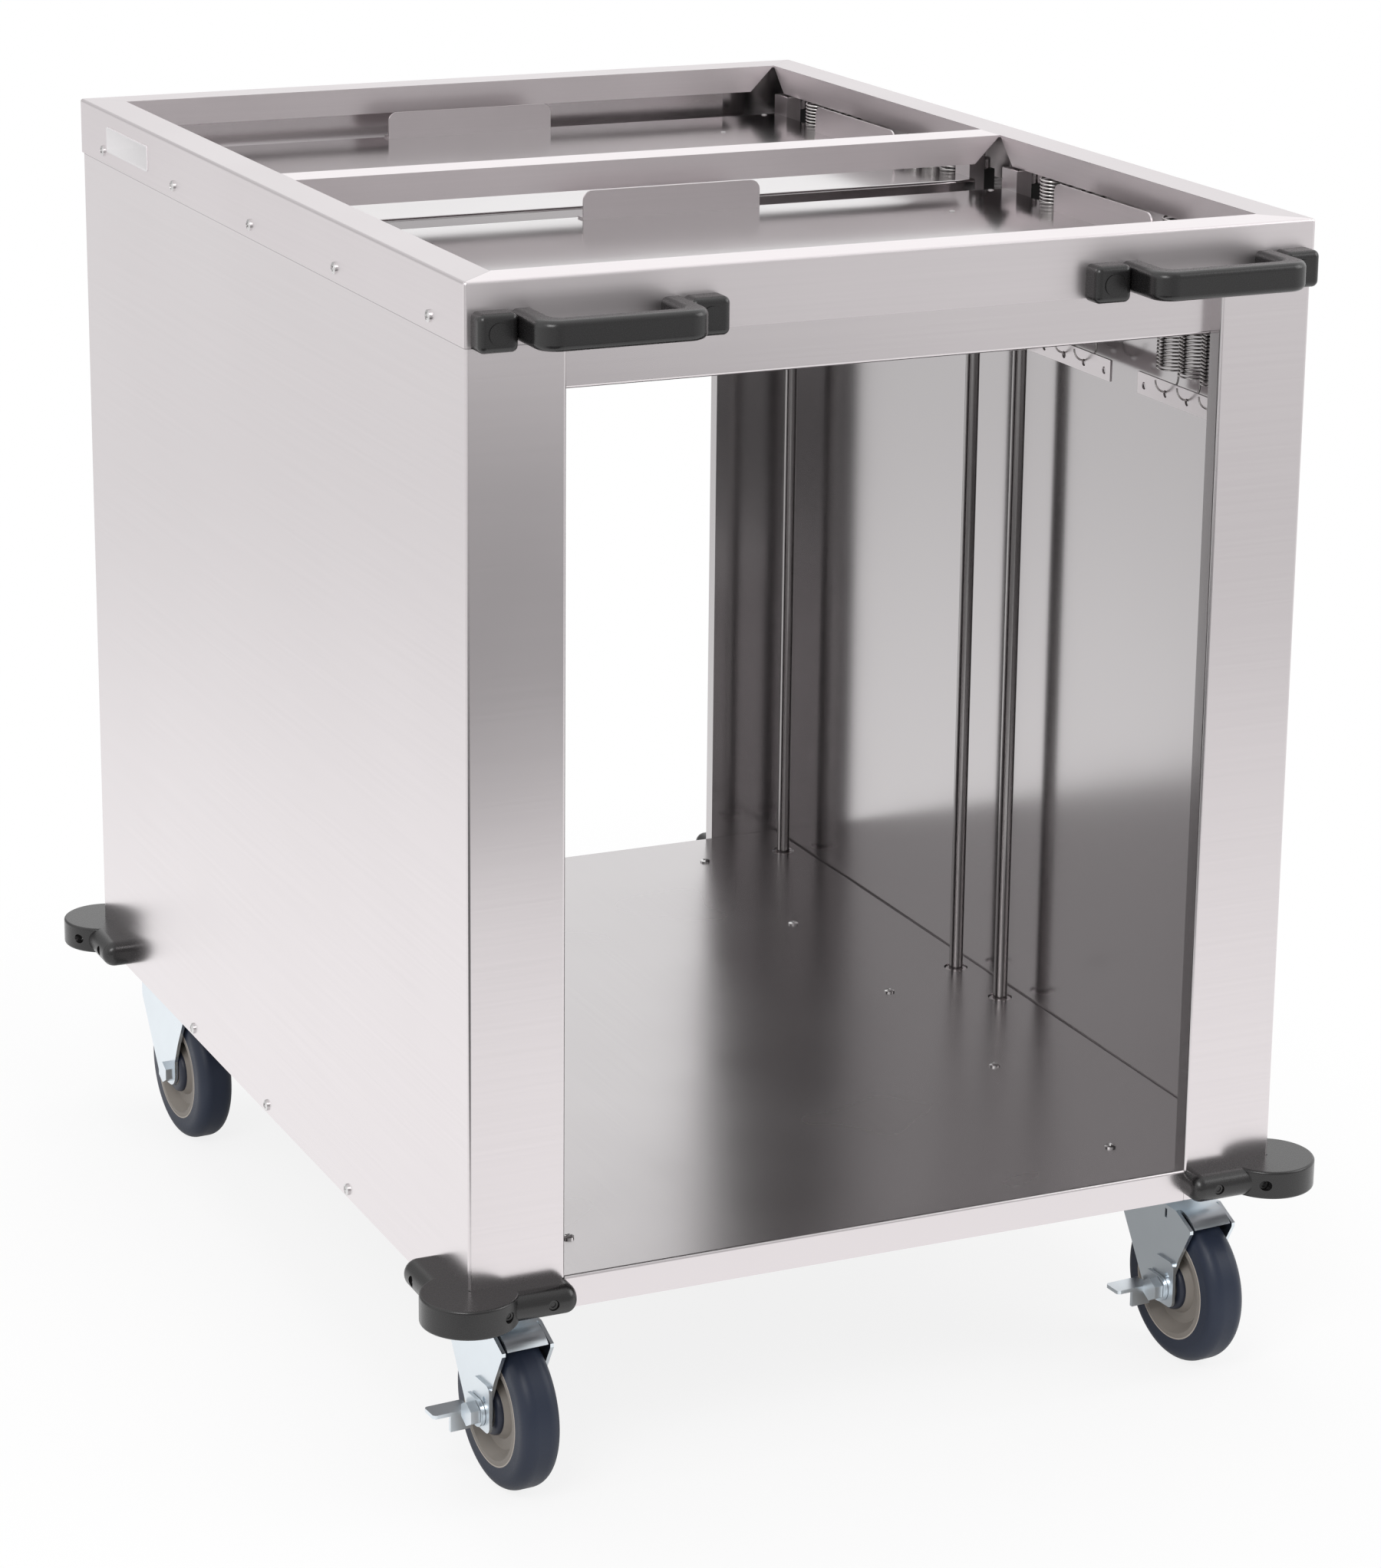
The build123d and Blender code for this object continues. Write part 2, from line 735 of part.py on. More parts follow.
def make_caster_plate():
    plate = slab(-mount_plate_x / 2, mount_plate_x / 2, -mount_plate_y / 2, mount_plate_y / 2, foot - mount_plate, foot)
    plate = fillet(plate.edges().filter_by(Axis.Z), 2 * mount_plate)
    plate += disc(0, 0, foot - mount_plate - race_height, foot - mount_plate, race_radius)
    nut_top = crown_top - fork_sheet - running
    plate += disc(0, 0, nut_top - kingpin_nut_height, foot - mount_plate, kingpin_radius)
    plate += disc(0, 0, nut_top - kingpin_nut_height, nut_top, kingpin_nut)
    for spot in bolt_places():
        plate -= disc(spot.position.X, spot.position.Y, foot - mount_plate, foot, screw_shank + screw_room)
    return plate


def make_bolt():
    """A bolt whose hex head is under the caster plate and whose nut is in the channel."""
    low = foot - mount_plate
    high = foot + channel_sheet
    bolt = hex_prism(bolt_flats, low - bolt_head, low) + disc(0, 0, low, high, screw_shank)
    return bolt + hex_prism(bolt_flats, high, high + bolt_head)


def make_fork():
    low = axle_z - leg_below_axle
    under = crown_top - fork_sheet
    shoulder_z = axle_z + wheel_radius - shoulder
    # the leg's outline from the crown's back, down its sloping rear edge, round the axle and up to the hood
    hood_y = -crown_front - hood_reach
    hood_z = crown_top - hood_drop
    outline = Polyline(
        (crown_back, crown_top),
        (crown_back, shoulder_z),
        (-lead + leg_below_axle + leg_front, low),
        (-lead - leg_front, low),
        (-lead - leg_front, axle_z + leg_front),
        (-crown_front - neck_reach, hood_z - neck_fall),
        (hood_y, hood_z - fork_sheet),
        (hood_y, hood_z),
        (-crown_front, crown_top),
        close=True,
    )
    leg = make_face(outline)
    bottom = leg.vertices().group_by(Axis.Y)[0]
    leg = fillet(bottom, leg_below_axle - running)
    leg -= Pos(-lead, axle_z) * Circle(axle_radius + snug)
    slot = Pos(-lead, shoulder_z + leg_front) * Rectangle(fork_sheet, 3 * fork_sheet)
    leg = extrude(leg - slot, fork_sheet)
    upright = Plane(origin=(0, 0, 0), x_dir=(0, 1, 0), z_dir=(1, 0, 0))
    right_leg = Pos(fork_gap_half, 0, 0) * (upright * leg)
    left_leg = Pos(-leg_outer, 0, 0) * (upright * leg)
    crown = slab(-leg_outer, leg_outer, -crown_front, crown_back, under, crown_top)
    # the hood curves down over the wheel's front, level where it leaves the crown
    hood_radius = (hood_reach ** 2 + hood_drop ** 2) / (2 * hood_drop)
    hood = rod_x(0, -crown_front, crown_top - hood_radius, hood_radius, 2 * hood_half)
    hood -= rod_x(0, -crown_front, crown_top - hood_radius, hood_radius - fork_sheet, 2 * hood_half)
    hood -= slab(-width, width, -crown_front, depth, -height, height)
    hood -= slab(-width, width, -depth, depth, -height, hood_z)
    fork = crown + right_leg + left_leg + hood
    return fork - disc(0, 0, under, crown_top, kingpin_radius + running)


def make_axle(braked):
    seat = leg_outer + (brake_sheet + lever_sheet + 2 * running if braked else 0)
    shaft = rod_x((leg_outer - seat) / 2, -lead, axle_z, axle_radius, leg_outer + seat)
    nut = Rot(0, 90, 0) * hex_prism(nut_flats, 0, nut_height)
    right = Pos(leg_outer, -lead, axle_z) * nut
    left = Pos(-seat - nut_height, -lead, axle_z) * nut
    return shaft + right + left


def wheel_ring(points):
    """A ring turned round the wheel's axle from half-width and radius pairs."""
    profile = make_face(Polyline(*points, close=True))
    ring = revolve(profile, axis=Axis.X)
    return Pos(0, -lead, axle_z) * ring


def make_tyre():
    block = Pos(0, (wheel_radius + hub_radius) / 2) * Rectangle(2 * tread_half, wheel_radius - hub_radius)
    block = fillet(block.vertices().group_by(Axis.Y)[-1], shoulder)
    return Pos(0, -lead, axle_z) * revolve(block, axis=Axis.X)


def make_hub():
    rim_half = tread_half - snug
    bore = axle_radius + running
    points = [
        (hub_boss_half, bore),
        (hub_boss_half, hub_boss),
        (hub_web_half, hub_boss + hub_dish),
        (hub_web_half, hub_radius - hub_rim - hub_dish),
        (rim_half, hub_radius - hub_rim),
        (rim_half, hub_radius),
    ]
    return wheel_ring(points + [(-x, r) for x, r in reversed(points)])


def make_brake_plate():
    """A clamp plate on the left leg's outer face, over the axle."""
    x1 = -leg_outer
    low = axle_z - leg_below_axle
    plate = slab(x1 - brake_sheet, x1, -lead - brake_plate_front, -lead + leg_front, low, axle_z + brake_plate_rise)
    plate = fillet(plate.edges().filter_by(Axis.X), leg_front / 2)
    plate -= rod_x(x1, -lead, axle_z, axle_radius + snug, 4 * brake_sheet)
    return plate - rod_x(x1, -lead - brake_plate_front / 2, axle_z + brake_plate_rise / 2, brake_hole, 4 * brake_sheet)


def make_brake_lever():
    """A foot lever beside the brake plate, with a pedal turned outward at its end and a flap under it."""
    x1 = -leg_outer - brake_sheet - running
    x0 = x1 - lever_sheet
    half = lever_width / 2
    end = -lead + lever_arm
    pedal_top = axle_z - pedal_drop + lever_sheet
    arm = slab(x0, x1, -lead - half, end, axle_z - half, axle_z + half)
    arm = fillet(arm.edges().filter_by(Axis.X).group_by(Axis.Y)[0], half - running)
    arm -= rod_x(x1, -lead, axle_z, axle_radius + running, 4 * lever_sheet)
    arm -= slab(x0, x1, end - pedal_width, end, pedal_top, axle_z + half)
    pedal = slab(x0 - pedal_reach, x1, end - pedal_width, end, axle_z - pedal_drop, pedal_top)
    pedal = fillet(pedal.edges().filter_by(Axis.Z).group_by(Axis.X)[0], lever_sheet)
    low = pedal_top - flap_height
    flap = slab(x0 - flap_reach, x1, end - pedal_width, end - pedal_width + lever_sheet, low, pedal_top)
    return arm + pedal + flap


nodes = {}
nodes["top_frame"] = make_top_frame()
nodes["left_panel"] = make_left_panel()
nodes["right_panel"] = right_of(nodes["left_panel"])
nodes["front_header"] = make_front_header()
nodes["rear_header"] = back_of(nodes["front_header"])
nodes["deck"] = make_deck()
nodes["left_channel"] = make_left_channel()
nodes["right_channel"] = right_of(nodes["left_channel"])
nodes["rod_collars"] = make_collars()
nodes["stop_rings"] = make_stop_rings()
nodes["left_handle"] = make_left_handle()
nodes["right_handle"] = right_of(nodes["left_handle"])
nodes["handle_caps"] = make_handle_caps()
nodes["sheet_screws"] = make_sheet_screws()
nodes["name_plate"] = make_name_plate()
nodes["front_left_bumper"] = make_front_left_bumper()
nodes["front_right_bumper"] = right_of(nodes["front_left_bumper"])
nodes["rear_left_bumper"] = back_of(nodes["front_left_bumper"])
nodes["rear_right_bumper"] = right_of(nodes["rear_left_bumper"])
nodes["bumper_screws"] = make_bumper_screws()

coil = make_spring()
for stack in stack_middle:
    nodes[stack + "_guide_rods"] = make_rods(stack)
    nodes[stack + "_spring_hanger"] = make_hanger(stack)
    nodes[stack + "_springs"] = make_springs(stack, coil)
    nodes[stack + "_platform"] = make_platform(stack)
    nodes[stack + "_posts"] = make_posts(stack)
    nodes[stack + "_bushings"] = make_bushings(stack)
    nodes[stack + "_hook_strips"] = make_strips(stack)
    nodes[stack + "_arms"] = make_arms(stack)
    nodes[stack + "_tray_stops"] = make_stops(stack)

nodes["caster_plates"] = group([place * make_caster_plate() for place in casters.values()])
bolt = make_bolt()
nodes["caster_bolts"] = group([place * spot * bolt for place in casters.values() for spot in bolt_places()])
for name, place in casters.items():
    braked = name.startswith("front")
    nodes[name + "_fork"] = place * turned * make_fork()
    nodes[name + "_axle"] = place * turned * make_axle(braked)
    nodes[name + "_tyre"] = place * turned * make_tyre()
    nodes[name + "_hub"] = place * turned * make_hub()
    if braked:
        nodes[name + "_brake_plate"] = place * turned * make_brake_plate()
        nodes[name + "_brake_lever"] = place * turned * make_brake_lever()

os.makedirs("parts", exist_ok=True)
for name, shape in nodes.items():
    export_step(Pos(0, cabinet_y, 0) * shape, "parts/" + name + ".step")
print("cabinet middle behind the origin", round(cabinet_y, 3), "mm;", len(nodes), "nodes")
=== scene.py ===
"""Looks of a two-stack self-levelling tray dispenser, built round its CAD model in one frame, in metres."""

import math
from collections import namedtuple

import bmesh
import bpy
from mathutils import Matrix, Vector
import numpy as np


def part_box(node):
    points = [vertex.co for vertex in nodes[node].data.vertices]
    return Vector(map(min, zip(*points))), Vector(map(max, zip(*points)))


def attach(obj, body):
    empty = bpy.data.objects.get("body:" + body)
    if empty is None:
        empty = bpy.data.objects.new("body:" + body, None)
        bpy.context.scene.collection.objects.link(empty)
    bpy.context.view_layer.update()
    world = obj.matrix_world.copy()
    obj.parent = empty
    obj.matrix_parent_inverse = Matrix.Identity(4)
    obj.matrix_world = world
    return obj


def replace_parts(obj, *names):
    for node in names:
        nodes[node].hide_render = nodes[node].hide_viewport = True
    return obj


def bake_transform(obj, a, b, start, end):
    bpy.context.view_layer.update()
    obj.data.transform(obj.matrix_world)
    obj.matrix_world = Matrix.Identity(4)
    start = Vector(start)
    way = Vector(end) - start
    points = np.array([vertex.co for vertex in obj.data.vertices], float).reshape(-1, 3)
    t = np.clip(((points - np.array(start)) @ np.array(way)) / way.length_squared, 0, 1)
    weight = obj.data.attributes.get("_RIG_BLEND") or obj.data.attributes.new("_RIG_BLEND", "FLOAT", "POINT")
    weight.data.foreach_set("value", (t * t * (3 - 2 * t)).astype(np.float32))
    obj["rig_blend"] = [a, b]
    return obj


bl_info = {
    "name": "Tray dispenser looks",
    "version": (1, 0, 0),
    "blender": (4, 5, 0),
    "location": "3D View > Sidebar > Dispenser",
    "description": "Finishes and fine pieces of a self-levelling tray dispenser",
    "category": "Object",
}

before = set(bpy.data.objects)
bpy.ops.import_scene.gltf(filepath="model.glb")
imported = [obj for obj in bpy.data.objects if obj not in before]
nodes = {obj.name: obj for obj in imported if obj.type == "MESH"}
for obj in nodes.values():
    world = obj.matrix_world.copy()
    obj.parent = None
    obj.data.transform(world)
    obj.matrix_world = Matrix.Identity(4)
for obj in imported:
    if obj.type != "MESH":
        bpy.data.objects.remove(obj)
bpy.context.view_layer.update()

STACKS = ("front", "rear")
CORNERS = ("front_left", "front_right", "rear_left", "rear_right")
RIM_LOW, RIM_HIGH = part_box("top_frame")
MIDDLE_Y = (RIM_LOW.y + RIM_HIGH.y) / 2
HALF_WIDTH = RIM_HIGH.x
HALF_DEPTH = RIM_HIGH.y - MIDDLE_Y
SHEET = 0.0015
DECK_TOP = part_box("deck")[1].z

# Depths and widths by which the cabinet's outer sides, rails, mitres and the painted shadow under the band
# are told apart
OUTER_SKIN = 1.5 * SHEET
RAIL_REACH = 0.0325
RIM_SKIN = 0.0005
# The painted shadow under the band: how far below the band it lies, and half its height
BAND_SHADOW_DROP = 0.0006
BAND_SHADOW_HALF = 0.0008
MITRE_HALF = 0.0007

# Scales of the grain of brushed, ground, drawn, turned and plated metal
FINE = 420.0
LONG = 5.0
BRUSHED = (LONG, LONG, FINE)
GROUND = (30.0, 30.0, 1200.0)
DRAWN = (900.0, 900.0, 900.0)
TURNED = (700.0, 700.0, 700.0)
PLATED = (60.0, 60.0, 60.0)
METAL_CONTRAST = 0.01
METAL_BUMP = 0.000001
BRUSHED_ROUGHNESS = (0.20, 0.235)
MILL_ROUGHNESS_SHARE = 0.75

# Shades against a finish's plain colour
# Painted light: the rim's steel is lighter than the panels' steel
RIM_PAINTED_LIGHT = 1.09
# Painted shade on the tops of the rim's side and rear rails
RAIL_PAINTED_SHADE = 0.79
MITRE_SHADE = 0.72
# Painted shadow just under the band's lower edge
BAND_PAINTED_SHADOW = 0.6
PLATFORM_SHADE = 1.05
# Painted shade on the inner side of the springs' coils
INNER_COIL_PAINTED_SHADE = 0.12
HUB_RIM_SHADE = 1.9

# A pan head's form, for a head of radius and height 1
HEAD_EDGE = 0.45
HEAD_CROWN = 0.98
CROSS_REACH = 0.5
CROSS_DEPTH = 0.6
CROSS_TAPER = 0.8

WHITE = (1.0, 1.0, 1.0, 1.0)
DOUBLES = 1e-7
SPIN_DOUBLES = 1e-6

Metal = namedtuple("Metal", ("material", "tree", "shader", "place", "tone", "rough"))


def colour_property(name, description, default):
    """A colour that a user may change."""
    return bpy.props.FloatVectorProperty(
        name=name, description=description, subtype="COLOR", default=default, min=0, max=1
    )


def length_property(name, description, default):
    """A length that a user may change."""
    return bpy.props.FloatProperty(name=name, description=description, default=default, unit="LENGTH")


class DispenserFinish(bpy.types.PropertyGroup):
    """Colours of the finishes."""

    steel: colour_property("Brushed steel", "Outer side of the sheets", (0.70, 0.657, 0.669))
    mill: colour_property("Mill steel", "Inner side of the sheets, and the deck", (0.50, 0.48, 0.485))
    rod: colour_property("Rods", "Ground guide rods", (0.36, 0.345, 0.345))
    spring: colour_property("Springs", "Drawn spring wire", (0.60, 0.58, 0.57))
    screw: colour_property("Screws", "Screws and bolts", (0.66, 0.65, 0.65))
    rivet: colour_property("Rivets", "Dull rivets on the platforms", (0.42, 0.40, 0.405))
    plate: colour_property("Plate", "Blank plate on the band", (0.78, 0.76, 0.77))
    plastic: colour_property("Black plastic", "Handles and bumpers", (0.0095, 0.0088, 0.0092))
    bushing: colour_property("Bushings", "Bushings on the rods", (0.02, 0.02, 0.02))
    tyre: colour_property("Tyres", "Slate tread", (0.018, 0.025, 0.046))
    hub: colour_property("Hubs", "Taupe moulded hubs", (0.25, 0.225, 0.20))
    bearing: colour_property("Bearing covers", "Navy covers in the hubs", (0.020, 0.024, 0.040))
    zinc: colour_property("Zinc", "Plated caster pressings", (0.70, 0.75, 0.79))


class DispenserShapes(bpy.types.PropertyGroup):
    """Sizes of the fine pieces."""

    coil_radius: length_property("Coil radius", "Middle of the spring wire", 0.0104)
    wire_radius: length_property("Wire radius", "Half of the spring wire", 0.0008)
    turns: bpy.props.IntProperty(
        name="Turns", description="Whole turns of a spring's coil", default=42, min=1
    )
    screw_head: length_property("Screw head", "Radius of a pan head", 0.0046)
    caster_turn: bpy.props.FloatProperty(
        name="Caster turn", description="How far the casters stand turned", subtype="ANGLE",
        default=math.radians(4),
    )


class DispenserStage(bpy.types.PropertyGroup):
    """Camera and light."""

    camera_place: bpy.props.FloatVectorProperty(
        name="Camera place", description="Where the camera stands", subtype="XYZ", unit="LENGTH",
        default=(-1.4256, -3.2049, 1.5032),
    )
    camera_turn: bpy.props.FloatVectorProperty(
        name="Camera turn", description="How the camera is turned", subtype="EULER", unit="ROTATION",
        default=(math.radians(74.3239), math.radians(-0.3971), math.radians(-23.7092)),
    )
    lens: bpy.props.FloatProperty(
        name="Lens", description="Focal length in millimetres", default=100.2131, min=1, unit="CAMERA"
    )
    shift: bpy.props.FloatVectorProperty(
        name="Shift", description="How far the picture is shifted", size=2, default=(0.0318, -0.0841)
    )
    sky: bpy.props.FloatProperty(name="Sky", description="Soft light from all round", default=0.6, min=0)


def link(tree, source, target):
    tree.links.new(source, target)


def new_node(tree, kind, **values):
    """A shader node with its plain settings and its unlinked inputs."""
    node = tree.nodes.new(kind)
    for key, value in values.items():
        if hasattr(node, key):
            setattr(node, key, value)
        else:
            node.inputs[key.replace("_", " ")].default_value = value
    return node


def sum_up(tree, operation, *sources):
    """One step of arithmetic on values and masks."""
    node = new_node(tree, "ShaderNodeMath", operation=operation)
    for socket, source in zip(node.inputs, sources):
        if isinstance(source, (int, float)):
            socket.default_value = source
        else:
            link(tree, source, socket)
    return node.outputs[0]


def spread(tree, source, low, high, start=0.3, end=0.7, smooth=False):
    """Takes a value from one range to another."""
    node = new_node(tree, "ShaderNodeMapRange", interpolation_type="SMOOTHSTEP" if smooth else "LINEAR")
    for socket, value in (("From Min", start), ("From Max", end), ("To Min", low), ("To Max", high)):
        node.inputs[socket].default_value = value
    link(tree, source, node.inputs["Value"])
    return node.outputs["Result"]


def mix_colours(tree, mask, dark, light):
    """One of two colours, each given or made by nodes, by a mask."""
    node = new_node(tree, "ShaderNodeMix", data_type="RGBA")
    sockets = [s for s in node.inputs if s.type == "RGBA"]
    for socket, colour in zip(sockets, (dark, light)):
        if isinstance(colour, tuple):
            socket.default_value = (*colour, 1)
        else:
            link(tree, colour, socket)
    link(tree, mask, node.inputs["Factor"])
    return next(s for s in node.outputs if s.type == "RGBA")


def mix_shaders(tree, mask, off, on):
    """One of two shaders by a mask."""
    node = tree.nodes.new("ShaderNodeMixShader")
    for socket, source in zip(node.inputs, (mask, off.outputs[0], on.outputs[0])):
        link(tree, source, socket)
    return node


def shade(colour, factor):
    return tuple(min(1.0, c * factor) for c in colour)


def new_material(name):
    """An empty material with its output and a Principled shader."""
    material = bpy.data.materials.new(name)
    material.use_nodes = True
    tree = material.node_tree
    tree.nodes.clear()
    output = tree.nodes.new("ShaderNodeOutputMaterial")
    shader = tree.nodes.new("ShaderNodeBsdfPrincipled")
    link(tree, shader.outputs["BSDF"], output.inputs["Surface"])
    return material, tree, shader


def new_group(name, inputs, outputs):
    """An empty node group with vector inputs and value outputs."""
    group = bpy.data.node_groups.new(name, "ShaderNodeTree")
    for socket in inputs:
        group.interface.new_socket(socket, in_out="INPUT", socket_type="NodeSocketVector")
    for socket in outputs:
        group.interface.new_socket(socket, in_out="OUTPUT", socket_type="NodeSocketFloat")
    return group, group.nodes.new("NodeGroupInput"), group.nodes.new("NodeGroupOutput")


def grain_group():
    """Fine lines along a finish's grain, and broad soft smudges."""
    if "finish_grain" in bpy.data.node_groups:
        return bpy.data.node_groups["finish_grain"]
    group, start, end = new_group("finish_grain", ("Grain", "Place"), ("Lines", "Smudge"))
    lines = new_node(group, "ShaderNodeTexNoise", Scale=1.0, Detail=2.0, Roughness=0.5)
    smudge = new_node(group, "ShaderNodeTexNoise", Scale=5.0, Detail=2.0, Roughness=0.5)
    link(group, start.outputs["Grain"], lines.inputs["Vector"])
    link(group, start.outputs["Place"], smudge.inputs["Vector"])
    link(group, lines.outputs["Fac"], end.inputs["Lines"])
    link(group, smudge.outputs["Fac"], end.inputs["Smudge"])
    return group


def sides_group():
    """Masks of the cabinet: outer sides, the painted shadow under the band, the rim's side and rear rail tops
    that get painted shade, and the mitres.
    """
    if "cabinet_sides" in bpy.data.node_groups:
        return bpy.data.node_groups["cabinet_sides"]
    group, start, end = new_group("cabinet_sides", ("Place",), ("Outer", "Painted Band Shadow", "Painted Shade Rail", "Mitre"))
    parts = group.nodes.new("ShaderNodeSeparateXYZ")
    link(group, start.outputs["Place"], parts.inputs[0])
    x = sum_up(group, "ABSOLUTE", parts.outputs["X"])
    y = sum_up(group, "ABSOLUTE", sum_up(group, "SUBTRACT", parts.outputs["Y"], MIDDLE_Y))
    outer_x = sum_up(group, "GREATER_THAN", x, HALF_WIDTH - OUTER_SKIN)
    outer_y = sum_up(group, "GREATER_THAN", y, HALF_DEPTH - OUTER_SKIN)
    link(group, sum_up(group, "MAXIMUM", outer_x, outer_y), end.inputs["Outer"])
    # Painted shadow: a thin dark line just under the band
    below = sum_up(group, "ABSOLUTE", sum_up(group, "SUBTRACT", parts.outputs["Z"], RIM_LOW.z - BAND_SHADOW_DROP))
    link(group, sum_up(group, "LESS_THAN", below, BAND_SHADOW_HALF), end.inputs["Painted Band Shadow"])
    # Tops of the rim's side and rear rails, which get painted shade
    top = sum_up(group, "GREATER_THAN", parts.outputs["Z"], RIM_HIGH.z - RIM_SKIN)
    reach = sum_up(group, "SUBTRACT", sum_up(group, "ADD", x, HALF_DEPTH - HALF_WIDTH), y)
    beside = sum_up(group, "GREATER_THAN", x, HALF_WIDTH - RAIL_REACH)
    behind = sum_up(group, "GREATER_THAN", parts.outputs["Y"], RIM_HIGH.y - RAIL_REACH)
    sides = sum_up(group, "MINIMUM", beside, sum_up(group, "GREATER_THAN", reach, 0.0))
    rails = sum_up(group, "MAXIMUM", behind, sides)
    link(group, sum_up(group, "MINIMUM", top, rails), end.inputs["Painted Shade Rail"])
    seam_and_shadow = sum_up(group, "LESS_THAN", sum_up(group, "ABSOLUTE", reach), MITRE_HALF)
    link(group, sum_up(group, "MINIMUM", beside, seam_and_shadow), end.inputs["Mitre"])
    return group


def finish_coordinates(tree, grain):
    """Object coordinates, and the grain and smudges of a finish on them."""
    place = tree.nodes.new("ShaderNodeTexCoord").outputs["Object"]
    mapping = new_node(tree, "ShaderNodeMapping")
    mapping.inputs["Scale"].default_value = grain
    link(tree, place, mapping.inputs["Vector"])
    group = tree.nodes.new("ShaderNodeGroup")
    group.node_tree = grain_group()
    link(tree, mapping.outputs["Vector"], group.inputs["Grain"])
    link(tree, place, group.inputs["Place"])
    return place, group.outputs["Lines"], group.outputs["Smudge"]


def vary(tree, mask, colour, contrast):
    """A colour that is a little darker and lighter by a mask."""
    share = spread(tree, mask, 0, 1)
    return mix_colours(tree, share, shade(colour, 1 - contrast), shade(colour, 1 + contrast))


def raise_grain(tree, shader, lines, bump):
    """Lets a finish's grain stand up from the surface."""
    height = new_node(tree, "ShaderNodeBump", Strength=1.0, Distance=bump)
    link(tree, lines, height.inputs["Height"])
    link(tree, height.outputs["Normal"], shader.inputs["Normal"])


def metal(name, colour, grain, roughness):
    """A metal whose grain runs along the axis with the smallest scale, and its nodes."""
    material, tree, shader = new_material(name)
    place, lines, smudge = finish_coordinates(tree, grain)
    tone = vary(tree, lines, colour, METAL_CONTRAST)
    link(tree, tone, shader.inputs["Base Color"])
    rough = spread(tree, smudge, *roughness)
    link(tree, rough, shader.inputs["Roughness"])
    raise_grain(tree, shader, lines, METAL_BUMP)
    shader.inputs["Metallic"].default_value = 1.0
    return Metal(material, tree, shader, place, tone, rough)


def moulded(name, colour, roughness=(0.4, 0.5), speckle=900.0, bump=0.00002, contrast=0.12, gloss=0.35):
    """Moulded plastic or rubber with a fine grain."""
    material, tree, shader = new_material(name)
    _, lines, smudge = finish_coordinates(tree, (speckle,) * 3)
    link(tree, vary(tree, smudge, colour, contrast), shader.inputs["Base Color"])
    link(tree, spread(tree, lines, *roughness), shader.inputs["Roughness"])
    raise_grain(tree, shader, lines, bump)
    shader.inputs["Specular IOR Level"].default_value = gloss
    return material


def cabinet_masks(steel):
    """The cabinet's masks in the material of a metal."""
    group = steel.tree.nodes.new("ShaderNodeGroup")
    group.node_tree = sides_group()
    link(steel.tree, steel.place, group.inputs["Place"])
    return group.outputs


def panel_steel(colour, mill):
    """Sheet that is brushed on its outer side and keeps its mill finish inside."""
    steel = metal("panel_steel", colour, BRUSHED, BRUSHED_ROUGHNESS)
    tree = steel.tree
    masks = cabinet_masks(steel)
    share = spread(tree, masks["Outer"], MILL_ROUGHNESS_SHARE, 1.0, start=0.0, end=1.0)
    link(tree, sum_up(tree, "MULTIPLY", steel.rough, share), steel.shader.inputs["Roughness"])
    sheet = mix_colours(tree, masks["Outer"], mill, steel.tone)
    # Paints a shadow into the panels' colour just under the band
    seam_and_shadow = mix_colours(tree, masks["Painted Band Shadow"], sheet, shade(colour, BAND_PAINTED_SHADOW))
    link(tree, seam_and_shadow, steel.shader.inputs["Base Color"])
    return steel.material


def deck_steel(colour, mill):
    """Mill finish along the deck, with brushed skirts."""
    steel = metal("deck_steel", mill, (FINE, LONG, FINE), (0.23, 0.28))
    skirts = mix_colours(steel.tree, cabinet_masks(steel)["Outer"], steel.tone, colour)
    link(steel.tree, skirts, steel.shader.inputs["Base Color"])
    return steel.material


def rim_steel(colour):
    """Rails brushed along their length, with ground mitres."""
    steel = metal("rim_steel", colour, BRUSHED, (0.34, 0.40))
    masks = cabinet_masks(steel)
    # Paints shade onto the tops of the side and rear rails
    rails = mix_colours(steel.tree, masks["Painted Shade Rail"], steel.tone, shade(colour, RAIL_PAINTED_SHADE))
    mitres = mix_colours(steel.tree, masks["Mitre"], rails, shade(colour, MITRE_SHADE))
    link(steel.tree, mitres, steel.shader.inputs["Base Color"])
    return steel.material


def dress(material, *names):
    """Gives CAD nodes a finish."""
    for name in names:
        mesh = nodes[name].data
        mesh.materials.clear()
        mesh.materials.append(material)


def make_piece(name, bm, material, smooth=35.0):
    """A finished mesh as an object at the origin, with sharp edges from an angle in degrees."""
    bmesh.ops.remove_doubles(bm, verts=bm.verts, dist=DOUBLES)
    bmesh.ops.recalc_face_normals(bm, faces=bm.faces)
    for edge in bm.edges:
        edge.smooth = len(edge.link_faces) == 2 and edge.calc_face_angle(0.0) < math.radians(smooth)
    for face in bm.faces:
        face.smooth = True
    mesh = bpy.data.meshes.new(name)
    bm.to_mesh(mesh)
    bm.free()
    mesh.materials.append(material)
    piece = bpy.data.objects.new(name, mesh)
    bpy.context.scene.collection.objects.link(piece)
    return piece


def lathe(bm, profile, place, steps):
    """A ring or dome turned round Z from (radius, height) pairs, then put in its place."""
    first = set(bm.verts)
    points = [bm.verts.new((radius, 0, height)) for radius, height in profile]
    edges = [bm.edges.new(pair) for pair in zip(points, points[1:])]
    bmesh.ops.spin(
        bm, geom=points + edges, cent=(0, 0, 0), axis=(0, 0, 1),
        angle=2 * math.pi, steps=steps, use_merge=True,
    )
    made = [v for v in bm.verts if v not in first]
    bmesh.ops.remove_doubles(bm, verts=made, dist=SPIN_DOUBLES)
    made = [v for v in bm.verts if v not in first]
    bmesh.ops.transform(bm, matrix=place, verts=made)


